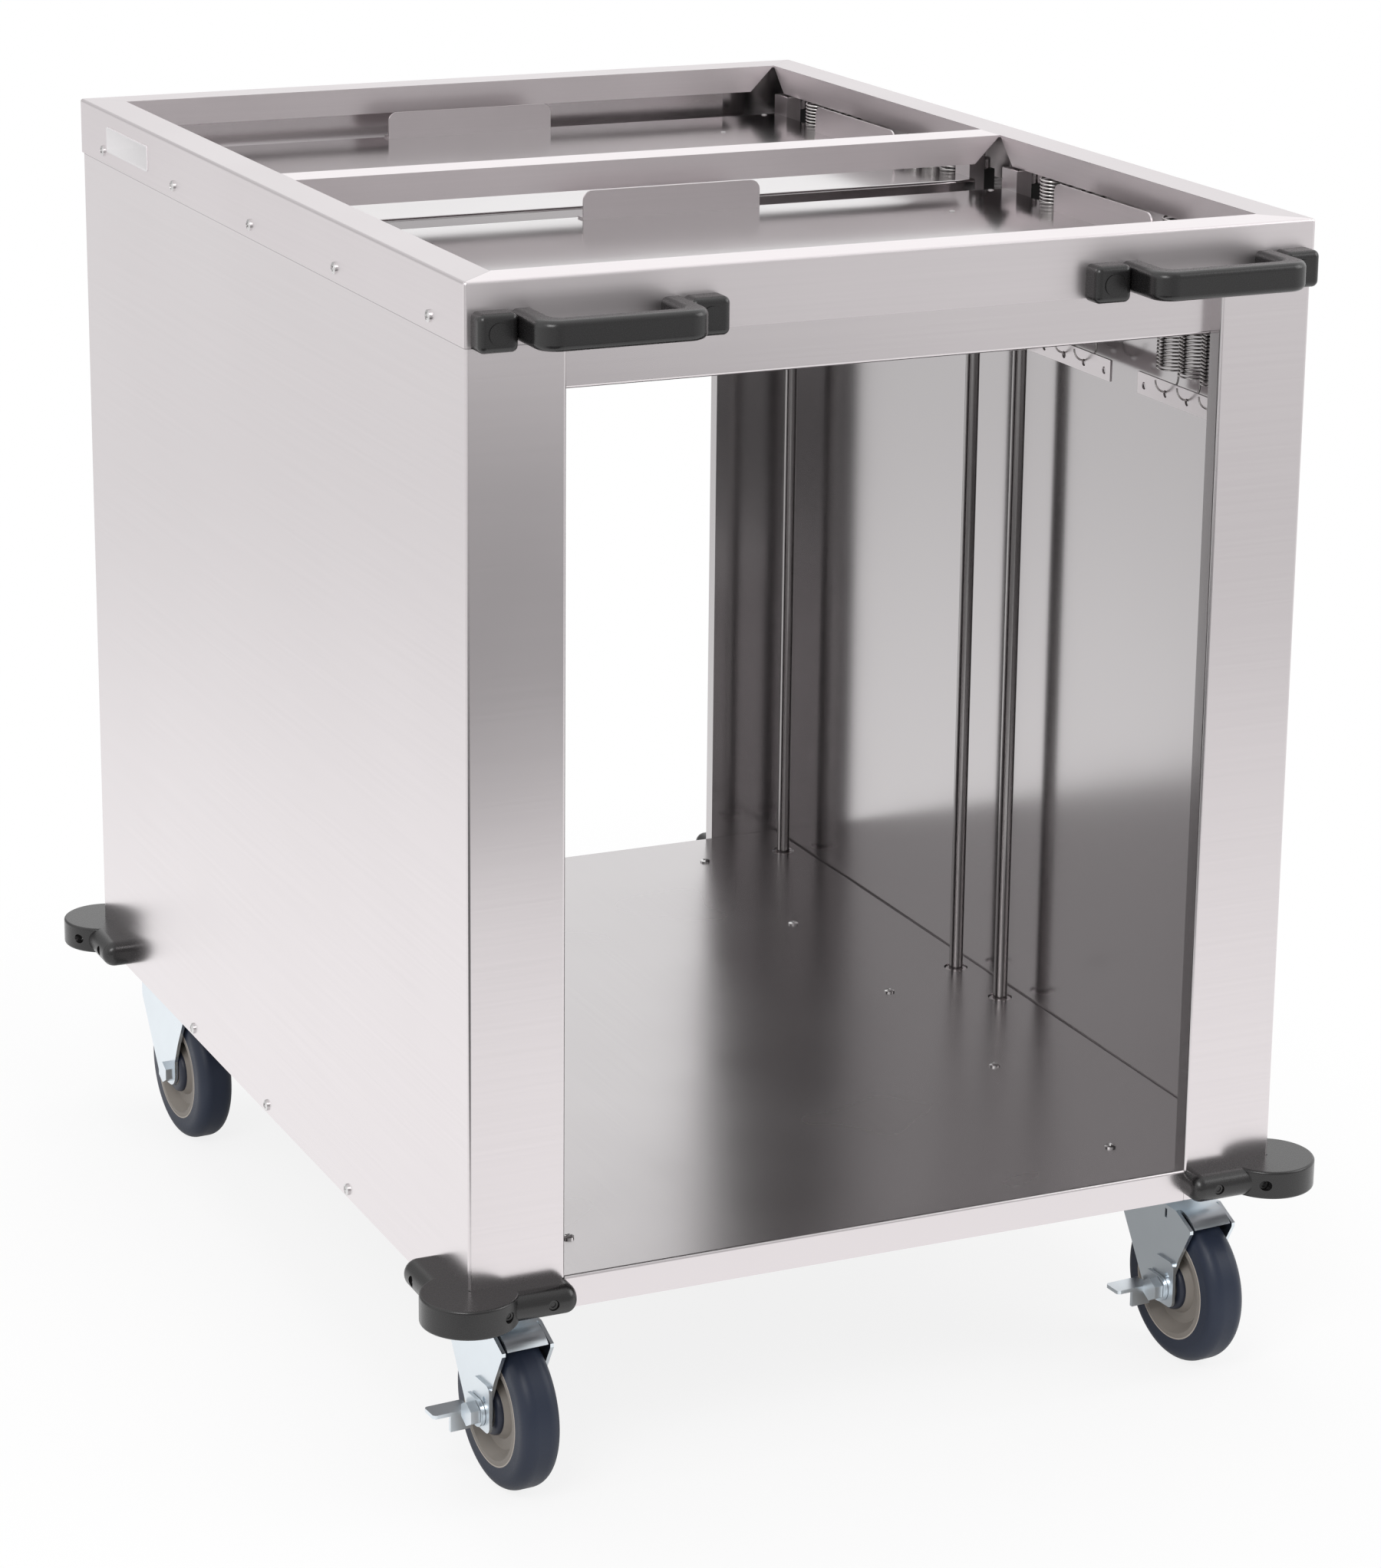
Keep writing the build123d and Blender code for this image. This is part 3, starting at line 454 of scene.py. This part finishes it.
def pan_head(bm, place, radius, height):
    """A domed screw head with a cross recess, standing on Z = 0 before it is put in its place."""
    first = set(bm.verts)
    bmesh.ops.create_grid(bm, x_segments=5, y_segments=5, size=1)
    made = [v for v in bm.verts if v not in first]
    faces = {f for v in made for f in v.link_faces}
    centres = {f: f.calc_center_median() for f in faces}
    arms = [f for f in faces if abs(centres[f].x) + abs(centres[f].y) < CROSS_REACH]
    rim = [e for f in faces for e in f.edges if e.is_boundary]
    for v in made:
        x, y = v.co.x, v.co.y
        v.co.x, v.co.y = x * math.sqrt(1 - y * y / 2), y * math.sqrt(1 - x * x / 2)
        fall = math.sqrt(max(0.0, 1 - HEAD_CROWN * v.co.to_2d().length_squared))
        v.co.z = HEAD_EDGE + (1 - HEAD_EDGE) * fall
    cut = bmesh.ops.extrude_face_region(bm, geom=arms)["geom"]
    deep = [v for v in cut if isinstance(v, bmesh.types.BMVert)]
    bmesh.ops.delete(bm, geom=arms, context="FACES_ONLY")
    bmesh.ops.scale(bm, vec=(CROSS_TAPER, CROSS_TAPER, 1), verts=deep)
    bmesh.ops.translate(bm, vec=(0, 0, -CROSS_DEPTH), verts=deep)
    skirt = bmesh.ops.extrude_edge_only(bm, edges=list(set(rim)))["geom"]
    for v in skirt:
        if isinstance(v, bmesh.types.BMVert):
            v.co.z = 0
    made = [v for v in bm.verts if v not in first]
    bmesh.ops.transform(bm, matrix=place @ Matrix.Diagonal((radius, radius, height, 1)), verts=made)


class DISPENSER_OT_sheet_metal(bpy.types.Operator):
    """Brushed finish of the rim, panels, deck and tray carriers"""

    bl_idname = "dispenser.sheet_metal"
    bl_label = "Sheet metal"

    folded_parts = ("arms", "tray_stops", "posts", "hook_strips", "spring_hanger")

    def execute(self, context):
        finish = context.scene.dispenser_finish
        colour, mill = tuple(finish.steel), tuple(finish.mill)
        dress(panel_steel(colour, mill), "left_panel", "right_panel")
        brushed = metal("header_steel", colour, BRUSHED, BRUSHED_ROUGHNESS).material
        dress(brushed, "front_header", "rear_header")
        # The rim is painted lighter than the panels, for the light it mirrors
        dress(rim_steel(shade(colour, RIM_PAINTED_LIGHT)), "top_frame")
        dress(deck_steel(colour, mill), "deck", "left_channel", "right_channel")
        sheet = shade(mill, PLATFORM_SHADE)
        polished = metal("platform_steel", sheet, (LONG, FINE, FINE), (0.10, 0.15)).material
        folded = metal("bracket_steel", colour, BRUSHED, (0.28, 0.34)).material
        for stack in STACKS:
            dress(polished, f"{stack}_platform")
            dress(folded, *(f"{stack}_{part}" for part in self.folded_parts))
        return {"FINISHED"}


class DISPENSER_OT_rods(bpy.types.Operator):
    """Ground guide rods with their seats, collars, stop rings and bushings"""

    bl_idname = "dispenser.rods"
    bl_label = "Guide rods"

    seat = [(0.0064, -0.0010), (0.0094, -0.0012), (0.0099, -0.0017), (0.0099, -0.0060), (0.0064, -0.0060)]

    def execute(self, context):
        finish = context.scene.dispenser_finish
        ground = metal("rod_ground_steel", tuple(finish.rod), GROUND, (0.2, 0.26)).material
        dress(ground, "rod_collars", "stop_rings", *(f"{s}_guide_rods" for s in STACKS))
        bm = bmesh.new()
        for stack in STACKS:
            low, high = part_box(f"{stack}_guide_rods")
            radius = (high.x - low.x) / 2
            for y in (low.y + radius, high.y - radius):
                lathe(bm, self.seat, Matrix.Translation(((low.x + high.x) / 2, y, DECK_TOP)), steps=40)
        bright = metal("seat_steel", tuple(finish.steel), PLATED, (0.3, 0.4)).material
        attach(make_piece("rod_seats", bm, bright), "cabinet")
        plastic = moulded("bushing_black", tuple(finish.bushing))
        dress(plastic, *(f"{s}_bushings" for s in STACKS))
        return {"FINISHED"}


class DISPENSER_OT_springs(bpy.types.Operator):
    """Close-wound extension springs that stretch with their carrier"""

    bl_idname = "dispenser.springs"
    bl_label = "Springs"

    sides = 8
    steps = 16
    hook_steps = 14
    bend_steps = 5
    bend = 0.004
    leg = 0.005
    eye = 0.0044
    eye_turn = 1.4 * math.pi
    hole_pitch = 0.0333
    strip_end = 0.1342
    holes = (1, 2, 3)

    def spin(self, bm, ring, centre, axis, angle, steps, rise=0.0):
        """Carries the wire on round an axis and returns its new end."""
        made = bmesh.ops.spin(
            bm, geom=ring, cent=centre, axis=axis, angle=angle, steps=steps,
            dvec=(0, 0, rise), use_merge=False,
        )
        return [g for g in made["geom_last"] if isinstance(g, (bmesh.types.BMVert, bmesh.types.BMEdge))]

    def wind(self, radius, wire, turns, bottom, top):
        """One spring, from the open end of its lower hook, round the coil, to the end of its upper eye."""
        bm = bmesh.new()
        low = bottom + radius
        high = top - self.eye
        start = Matrix.Translation((-radius, 0, low))
        ring = bmesh.ops.create_circle(bm, segments=self.sides, radius=wire, matrix=start)["verts"]
        ring = ring + list({e for v in ring for e in v.link_edges})
        ring = self.spin(bm, ring, (0, 0, low), (0, 1, 0), -math.pi, self.hook_steps)
        ring = self.spin(bm, ring, (0, 0, 0), (0, 0, 1), 0.0, 1, self.leg)
        low += self.leg
        ring = self.spin(bm, ring, (radius, -self.bend, low), (1, 0, 0), math.pi / 2, self.bend_steps)
        count = turns * self.steps
        inward = (radius - self.eye) / 2
        rise = (high - low - 2 * self.bend) / (count + self.steps / 2)
        ring = self.spin(bm, ring, (0, -self.bend, low), (0, 0, 1), -2 * math.pi * turns, count, rise)
        ring = self.spin(bm, ring, (inward, -self.bend, low), (0, 0, 1), -math.pi, self.steps // 2, rise)
        ring = self.spin(bm, ring, (-self.eye, -self.bend, high), (1, 0, 0), math.pi / 2, self.bend_steps)
        self.spin(bm, ring, (0, 0, high), (0, 1, 0), self.eye_turn, self.steps)
        # How deep each point lies inside the coil, for the painted shade there
        inner = bm.verts.layers.float.new("painted_coil_shade")
        for v in bm.verts:
            if low + self.bend < v.co.z < high - 2 * self.bend:
                depth = radius - math.hypot(v.co.x, v.co.y + self.bend)
                v[inner] = min(1.0, max(0.0, depth / wire))
        spring = bpy.data.meshes.new("wound_spring")
        bm.to_mesh(spring)
        bm.free()
        return spring

    def wire_finish(self, colour):
        """Drawn wire with painted shade on the inner side of a coil."""
        steel = metal("spring_wire", colour, DRAWN, (0.24, 0.32))
        inner = new_node(steel.tree, "ShaderNodeAttribute", attribute_name="painted_coil_shade")
        # Paints shade onto the inner side of the coil
        tone = mix_colours(steel.tree, inner.outputs["Fac"], steel.tone, shade(colour, INNER_COIL_PAINTED_SHADE))
        link(steel.tree, tone, steel.shader.inputs["Base Color"])
        return steel.material

    def follow_by_ring(self, springs, levels, bottom, top):
        """Lets each ring of the wire follow the carrier as a whole, so that the wire keeps its section."""
        if len(levels) != len(springs.data.vertices):
            raise RuntimeError("the wire's rings were merged")
        follow = springs.data.attributes["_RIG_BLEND"].data
        for i in range(0, len(levels), self.sides):
            middle = sum(levels[i:i + self.sides]) / self.sides
            share = min(1.0, max(0.0, (top - middle) / (top - bottom)))
            for k in range(i, i + self.sides):
                follow[k].value = share

    def execute(self, context):
        shapes = context.scene.dispenser_shapes
        wire = self.wire_finish(tuple(context.scene.dispenser_finish.spring))
        low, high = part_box("front_springs")
        hook_low, hook_high = low.z + shapes.wire_radius, high.z - shapes.wire_radius
        spring = self.wind(shapes.coil_radius, shapes.wire_radius, shapes.turns, hook_low, hook_high)
        bottom = hook_low + shapes.coil_radius + self.leg + self.bend
        top = hook_high - self.eye - self.bend
        for stack in STACKS:
            low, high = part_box(f"{stack}_hook_strips")
            x = (low.x + high.x) / 2
            rows = [low.y + self.strip_end - i * self.hole_pitch for i in self.holes]
            rows += [high.y - self.strip_end + i * self.hole_pitch for i in self.holes]
            bm = bmesh.new()
            for y in rows:
                before = len(bm.verts)
                bm.from_mesh(spring)
                bm.verts.ensure_lookup_table()
                bmesh.ops.translate(bm, vec=(x, y, 0), verts=bm.verts[before:])
            levels = [v.co.z for v in bm.verts]
            bmesh.ops.holes_fill(bm, edges=bm.edges, sides=self.sides)
            springs = make_piece(f"{stack}_wound_springs", bm, wire, smooth=80)
            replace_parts(springs, f"{stack}_springs")
            upper, lower = (x, rows[0], top), (x, rows[0], bottom)
            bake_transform(springs, "cabinet", f"{stack}_carrier", start=upper, end=lower)
            self.follow_by_ring(springs, levels, bottom, top)
        bpy.data.meshes.remove(spring)
        return {"FINISHED"}


class DISPENSER_OT_handles(bpy.types.Operator):
    """Moulded handles, and corner bumpers with plugs over their screws"""

    bl_idname = "dispenser.handles"
    bl_label = "Handles and bumpers"

    plug = [
        (0.0041, -0.0040), (0.0041, -0.0005), (0.0037, 0.0),
        (0.0022, -0.0002), (0.0019, -0.0009), (0.0, -0.0009),
    ]
    # How far each plug lies in from the panels' corner and out from their face
    plug_seats = ((0.020, 0.0276), (0.058, 0.0222))

    def execute(self, context):
        colour = tuple(context.scene.dispenser_finish.plastic)
        satin = moulded("handle_black", colour, roughness=(0.24, 0.32), gloss=0.6)
        dress(satin, "left_handle", "right_handle", "handle_caps")
        dress(satin, *(f"{c}_bumper" for c in CORNERS))
        low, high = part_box("front_left_bumper")
        level = (low.z + high.z) / 2
        half_x, half_y = HALF_WIDTH - SHEET, HALF_DEPTH - SHEET
        bm = bmesh.new()
        for x in (-1, 1):
            for y in (-1, 1):
                across = Matrix.Rotation(-y * math.pi / 2, 4, "X")
                along = Matrix.Rotation(x * math.pi / 2, 4, "Y")
                for inward, out in self.plug_seats:
                    spot = Matrix.Translation((x * (half_x - inward), MIDDLE_Y + y * (half_y + out), level))
                    lathe(bm, self.plug, spot @ across, steps=24)
                    spot = Matrix.Translation((x * (half_x + out), MIDDLE_Y + y * (half_y - inward), level))
                    lathe(bm, self.plug, spot @ along, steps=24)
        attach(make_piece("bumper_plugs", bm, satin), "cabinet")
        return {"FINISHED"}


class DISPENSER_OT_fasteners(bpy.types.Operator):
    """Screws with cross recesses, rivets, bolts and the blank plate"""

    bl_idname = "dispenser.fasteners"
    bl_label = "Fasteners"

    row_count = 5
    end_inset = 0.067
    band_drop = 0.036
    foot_rise = 0.007
    deck_inset = 0.108
    head_height = 0.0026
    head_twist = 0.7
    # How far each rivet lies in from the platform's right and rear edges
    rivet_insets = ((0.0139, 0.0067), (0.0919, 0.0862))
    rivet_dome = [(0.0026, 0), (0.0026, 0.0002), (0.0022, 0.0006), (0.0013, 0.0009), (0.0, 0.0010)]
    plate_corner = 0.002
    plate_border = 0.0012
    plate_slope = 0.0003
    plate_sink = 0.0002

    def drive_screws(self, material, head):
        """Pan heads on the band, the panels' feet and the deck, each turned further than the last."""
        pitch = 2 * (HALF_DEPTH - self.end_inset) / (self.row_count - 1)
        rows = [MIDDLE_Y - HALF_DEPTH + self.end_inset + i * pitch for i in range(self.row_count)]
        band_level = RIM_HIGH.z - self.band_drop
        foot_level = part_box("left_panel")[0].z + self.foot_rise
        deck_x = HALF_WIDTH - self.deck_inset
        bm = bmesh.new()
        for side in (-1, 1):
            turn = Matrix.Rotation(side * math.pi / 2, 4, "Y")
            seats = [(side * HALF_WIDTH, y, band_level, turn) for y in rows]
            seats += [(side * (HALF_WIDTH - SHEET), y, foot_level, turn) for y in rows[1:-1]]
            seats += [(side * deck_x, y, DECK_TOP, Matrix.Identity(4)) for y in rows]
            for number, (x, y, z, way) in enumerate(seats):
                twist = Matrix.Rotation(self.head_twist * number, 4, "Z")
                pan_head(bm, Matrix.Translation((x, y, z)) @ way @ twist, head, self.head_height)
        screws = make_piece("cross_head_screws", bm, material)
        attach(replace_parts(screws, "sheet_screws"), "cabinet")

    def set_rivets(self, material, stack):
        """Domed rivets on a platform."""
        bm = bmesh.new()
        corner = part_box(f"{stack}_platform")[1]
        for x, y in self.rivet_insets:
            lathe(bm, self.rivet_dome, Matrix.Translation(corner - Vector((x, y, 0))), steps=20)
        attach(make_piece(f"{stack}_platform_rivets", bm, material), f"{stack}_carrier")

    def fix_plate(self, material):
        """A plate with round corners and a blank, slightly sunk face."""
        low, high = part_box("name_plate")
        size = high - low
        bm = bmesh.new()
        spot = Matrix.Translation((low + high) / 2)
        bmesh.ops.create_cube(bm, size=1, matrix=spot @ Matrix.Diagonal((*size, 1)))
        corners = [e for e in bm.edges if abs(e.verts[0].co.x - e.verts[1].co.x) > size.x / 2]
        bmesh.ops.bevel(
            bm, geom=corners, offset=self.plate_corner, segments=4, profile=0.5, affect="EDGES", material=-1
        )
        face = min(bm.faces, key=lambda f: f.calc_center_median().x)
        bmesh.ops.inset_region(bm, faces=[face], thickness=self.plate_border, depth=0.0)
        bmesh.ops.inset_region(bm, faces=[face], thickness=self.plate_slope, depth=-self.plate_sink)
        plate = make_piece("blank_name_plate", bm, material)
        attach(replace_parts(plate, "name_plate"), "cabinet")

    def execute(self, context):
        finish = context.scene.dispenser_finish
        bright = metal("screw_steel", tuple(finish.screw), TURNED, (0.2, 0.3)).material
        dress(bright, "bumper_screws", "caster_bolts")
        self.drive_screws(bright, context.scene.dispenser_shapes.screw_head)
        dull = metal("rivet_steel", tuple(finish.rivet), TURNED, (0.45, 0.55)).material
        for stack in STACKS:
            self.set_rivets(dull, stack)
        satin = moulded("blank_plate", tuple(finish.plate), contrast=0.02, speckle=300.0, bump=0.000002)
        self.fix_plate(satin)
        return {"FINISHED"}


class DISPENSER_OT_casters(bpy.types.Operator):
    """Swivel casters with their hub rims and bearing covers"""

    bl_idname = "dispenser.casters"
    bl_label = "Casters"

    cover = [
        (0.0202, 0.0088), (0.0202, 0.0140), (0.0196, 0.0160), (0.0182, 0.0174), (0.0165, 0.0179),
        (0.0135, 0.0179), (0.0128, 0.0173), (0.0118, 0.0173), (0.0112, 0.0178), (0.0068, 0.0178),
    ]
    rim_line = [
        (0.0448, 0.0150), (0.0446, 0.0158), (0.0440, 0.0162),
        (0.0434, 0.0160), (0.0430, 0.0152), (0.0430, 0.0140),
    ]

    def execute(self, context):
        finish = context.scene.dispenser_finish
        hub = tuple(finish.hub)
        zinc = metal("zinc_plate", tuple(finish.zinc), PLATED, (0.24, 0.36)).material
        rubber = moulded("tyre_slate", tuple(finish.tyre), roughness=(0.38, 0.48))
        taupe = moulded("hub_taupe", hub, roughness=(0.45, 0.55))
        pale = moulded("hub_rim_taupe", shade(hub, HUB_RIM_SHADE), roughness=(0.4, 0.5))
        navy = moulded("bearing_navy", tuple(finish.bearing), roughness=(0.36, 0.46))
        rings = (("bearing_covers", self.cover, navy), ("hub_rims", self.rim_line, pale))
        turn = Matrix.Rotation(context.scene.dispenser_shapes.caster_turn, 4, "Z")
        dress(zinc, "caster_plates")
        for corner in CORNERS:
            dress(zinc, f"{corner}_fork", f"{corner}_axle")
            dress(rubber, f"{corner}_tyre")
            dress(taupe, f"{corner}_hub")
            if corner.startswith("front"):
                dress(zinc, f"{corner}_brake_plate", f"{corner}_brake_lever")
            low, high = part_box(f"{corner}_tyre")
            spot = Matrix.Translation((low + high) / 2)
            for name, profile, material in rings:
                bm = bmesh.new()
                for side in (-1, 1):
                    lathe(bm, profile, spot @ turn @ Matrix.Rotation(side * math.pi / 2, 4, "Y"), steps=64)
                piece = make_piece(f"{corner}_{name}", bm, material)
                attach(piece, f"{corner}_wheel")
        return {"FINISHED"}


class DISPENSER_OT_stage(bpy.types.Operator):
    """Floor, light and camera"""

    bl_idname = "dispenser.stage"
    bl_label = "Stage"

    sensor = 36
    # Spots of the mirrored floor: place, distances where the dimming is full and ends, and the light left
    dim_spots = (
        ((0.1, -3.3), 1.15, 1.45, 0.32),
        ((-1.15, -1.9), 1.02, 1.11, 0.12),
        ((2.0, -3.25), 1.1, 1.5, 0.83),
        ((0.0, 0.0), 3.2, 0.7, 0.80),
    )
    # Sides of the mirrored room: direction, cosines where the dimming starts and is full, and the light left
    dim_sides = (((0.1, -1.0, -0.1), -0.1, 0.75, 0.5), ((-0.42, 0.91, 0.1), 0.75, 0.96, 0.5))
    room_level = 1.2
    floor_level = 1.14
    floor_half = 12
    floor_white = (0.9, 0.9, 0.9, 1.0)
    # The floor's shadow, and the mirrored floor's painted shadow under the object, with ends in halves of the
    # object's size
    shadow_share = 0.16
    shadow_ends = (1.1, 2.6)
    under_shadow_level = 0.34
    under_ends = (0.8, 1.2)
    # Softboxes: name, place, size, power, and whether the steel mirrors it
    lamps = (
        ("key_softbox", (-2.4, -2.6, 3.0), 1.8, 60, True),
        ("fill_softbox", (3.0, -1.8, 2.4), 2.2, 35, True),
        ("top_softbox", (0.0, 0.6, 3.6), 2.6, 45, False),
    )
    lamp_aim = (0, 0, 0.5)

    def place_camera(self, scene):
        stage = scene.dispenser_stage
        data = bpy.data.cameras.new("photo_camera")
        data.lens = stage.lens
        data.sensor_width = self.sensor
        data.shift_x, data.shift_y = stage.shift
        camera = bpy.data.objects.new("photo_camera", data)
        camera.location = stage.camera_place
        camera.rotation_euler = stage.camera_turn
        scene.collection.objects.link(camera)
        scene.camera = camera

    def light_world(self, scene):
        """White behind the object, and a dimmer room in front of it that the metal mirrors."""
        world = bpy.data.worlds.new("studio_white")
        scene.world = world
        world.use_nodes = True
        tree = world.node_tree
        tree.nodes.clear()
        output = tree.nodes.new("ShaderNodeOutputWorld")
        soft = new_node(tree, "ShaderNodeBackground", Color=WHITE, Strength=scene.dispenser_stage.sky)
        white = new_node(tree, "ShaderNodeBackground", Color=WHITE, Strength=1.0)
        mirrored = new_node(tree, "ShaderNodeBackground", Color=WHITE)
        way = tree.nodes.new("ShaderNodeTexCoord").outputs["Generated"]
        level = self.room_level
        for towards, start, end, dim in self.dim_sides:
            ahead = new_node(tree, "ShaderNodeVectorMath", operation="DOT_PRODUCT")
            link(tree, way, ahead.inputs[0])
            ahead.inputs[1].default_value = Vector(towards).normalized()
            share = spread(tree, ahead.outputs["Value"], 1.0, dim, start, end, smooth=True)
            level = sum_up(tree, "MULTIPLY", level, share)
        link(tree, level, mirrored.inputs["Strength"])
        path = tree.nodes.new("ShaderNodeLightPath").outputs
        room = mix_shaders(tree, path["Is Glossy Ray"], soft, mirrored)
        clear = sum_up(tree, "MAXIMUM", path["Is Camera Ray"], path["Is Transmission Ray"])
        link(tree, mix_shaders(tree, clear, room, white).outputs[0], output.inputs["Surface"])

    def lay_floor(self, scene):
        """A white floor that keeps the object's shadow, and is dimmer in parts where metal mirrors it, with a
        painted shadow under the object.
        """
        bm = bmesh.new()
        bmesh.ops.create_grid(bm, x_segments=1, y_segments=1, size=self.floor_half)
        mesh = bpy.data.meshes.new("floor")
        bm.to_mesh(mesh)
        bm.free()
        floor = bpy.data.objects.new("floor", mesh)
        scene.collection.objects.link(floor)
        material, tree, shader = new_material("floor_white")
        mesh.materials.append(material)
        tree.nodes.remove(shader)
        matt = new_node(tree, "ShaderNodeBsdfDiffuse", Color=self.floor_white)
        glow = new_node(tree, "ShaderNodeEmission", Color=WHITE, Strength=1.0)
        mirrored = new_node(tree, "ShaderNodeEmission", Color=WHITE)
        place = tree.nodes.new("ShaderNodeTexCoord").outputs["Object"]
        parts = tree.nodes.new("ShaderNodeSeparateXYZ")
        link(tree, place, parts.inputs[0])
        across = sum_up(tree, "DIVIDE", sum_up(tree, "ABSOLUTE", parts.outputs["X"]), HALF_WIDTH)
        along = sum_up(tree, "DIVIDE", sum_up(tree, "ABSOLUTE", parts.outputs["Y"]), HALF_DEPTH)
        under = sum_up(tree, "MAXIMUM", across, along)
        shadow = spread(tree, under, self.shadow_share, 0.0, *self.shadow_ends, smooth=True)
        # Painted shadow on the mirrored floor under the object
        level = spread(tree, under, self.under_shadow_level, 1.0, *self.under_ends, smooth=True)
        for (x, y), near, far, dim in self.dim_spots:
            gap = new_node(tree, "ShaderNodeVectorMath", operation="DISTANCE")
            link(tree, place, gap.inputs[0])
            gap.inputs[1].default_value = (x, y, 0)
            share = spread(tree, gap.outputs["Value"], dim, 1.0, near, far, smooth=True)
            level = sum_up(tree, "MULTIPLY", level, share)
        link(tree, sum_up(tree, "MULTIPLY", level, self.floor_level), mirrored.inputs["Strength"])
        path = tree.nodes.new("ShaderNodeLightPath").outputs
        seen = mix_shaders(tree, shadow, glow, matt)
        plain = mix_shaders(tree, path["Is Camera Ray"], matt, seen)
        output = next(n for n in tree.nodes if n.type == "OUTPUT_MATERIAL")
        whole = mix_shaders(tree, path["Is Glossy Ray"], plain, mirrored)
        link(tree, whole.outputs[0], output.inputs["Surface"])

    def hang_lamps(self, scene):
        """Softboxes, of which the one overhead isn't mirrored, so that level steel keeps its tone."""
        for name, place, size, power, mirrored in self.lamps:
            lamp = bpy.data.lights.new(name, "AREA")
            lamp.shape = "SQUARE"
            lamp.size = size
            lamp.energy = power
            thing = bpy.data.objects.new(name, lamp)
            thing.location = place
            thing.visible_glossy = mirrored
            thing.rotation_euler = (Vector(self.lamp_aim) - Vector(place)).to_track_quat("-Z", "Y").to_euler()
            scene.collection.objects.link(thing)

    def execute(self, context):
        scene = context.scene
        scene.view_settings.view_transform = "Standard"
        self.place_camera(scene)
        self.light_world(scene)
        self.lay_floor(scene)
        self.hang_lamps(scene)
        return {"FINISHED"}


OPERATORS = (
    DISPENSER_OT_sheet_metal,
    DISPENSER_OT_rods,
    DISPENSER_OT_springs,
    DISPENSER_OT_handles,
    DISPENSER_OT_fasteners,
    DISPENSER_OT_casters,
    DISPENSER_OT_stage,
)
GROUPS = {
    "dispenser_finish": DispenserFinish,
    "dispenser_shapes": DispenserShapes,
    "dispenser_stage": DispenserStage,
}


class DISPENSER_PT_looks(bpy.types.Panel):
    """Lists the pieces of the dispenser"""

    bl_idname = "DISPENSER_PT_looks"
    bl_label = "Tray dispenser"
    bl_space_type = "VIEW_3D"
    bl_region_type = "UI"
    bl_category = "Dispenser"

    def draw(self, context):
        for operator in OPERATORS:
            self.layout.operator(operator.bl_idname)


CLASSES = (*GROUPS.values(), *OPERATORS, DISPENSER_PT_looks)


def register():
    for cls in CLASSES:
        bpy.utils.register_class(cls)
    for name, group in GROUPS.items():
        setattr(bpy.types.Scene, name, bpy.props.PointerProperty(type=group))


def unregister():
    for name in GROUPS:
        delattr(bpy.types.Scene, name)
    for cls in reversed(CLASSES):
        bpy.utils.unregister_class(cls)


def main():
    register()
    for operator in OPERATORS:
        group, name = operator.bl_idname.split(".")
        getattr(getattr(bpy.ops, group), name)()


if __name__ == "__main__":
    main()
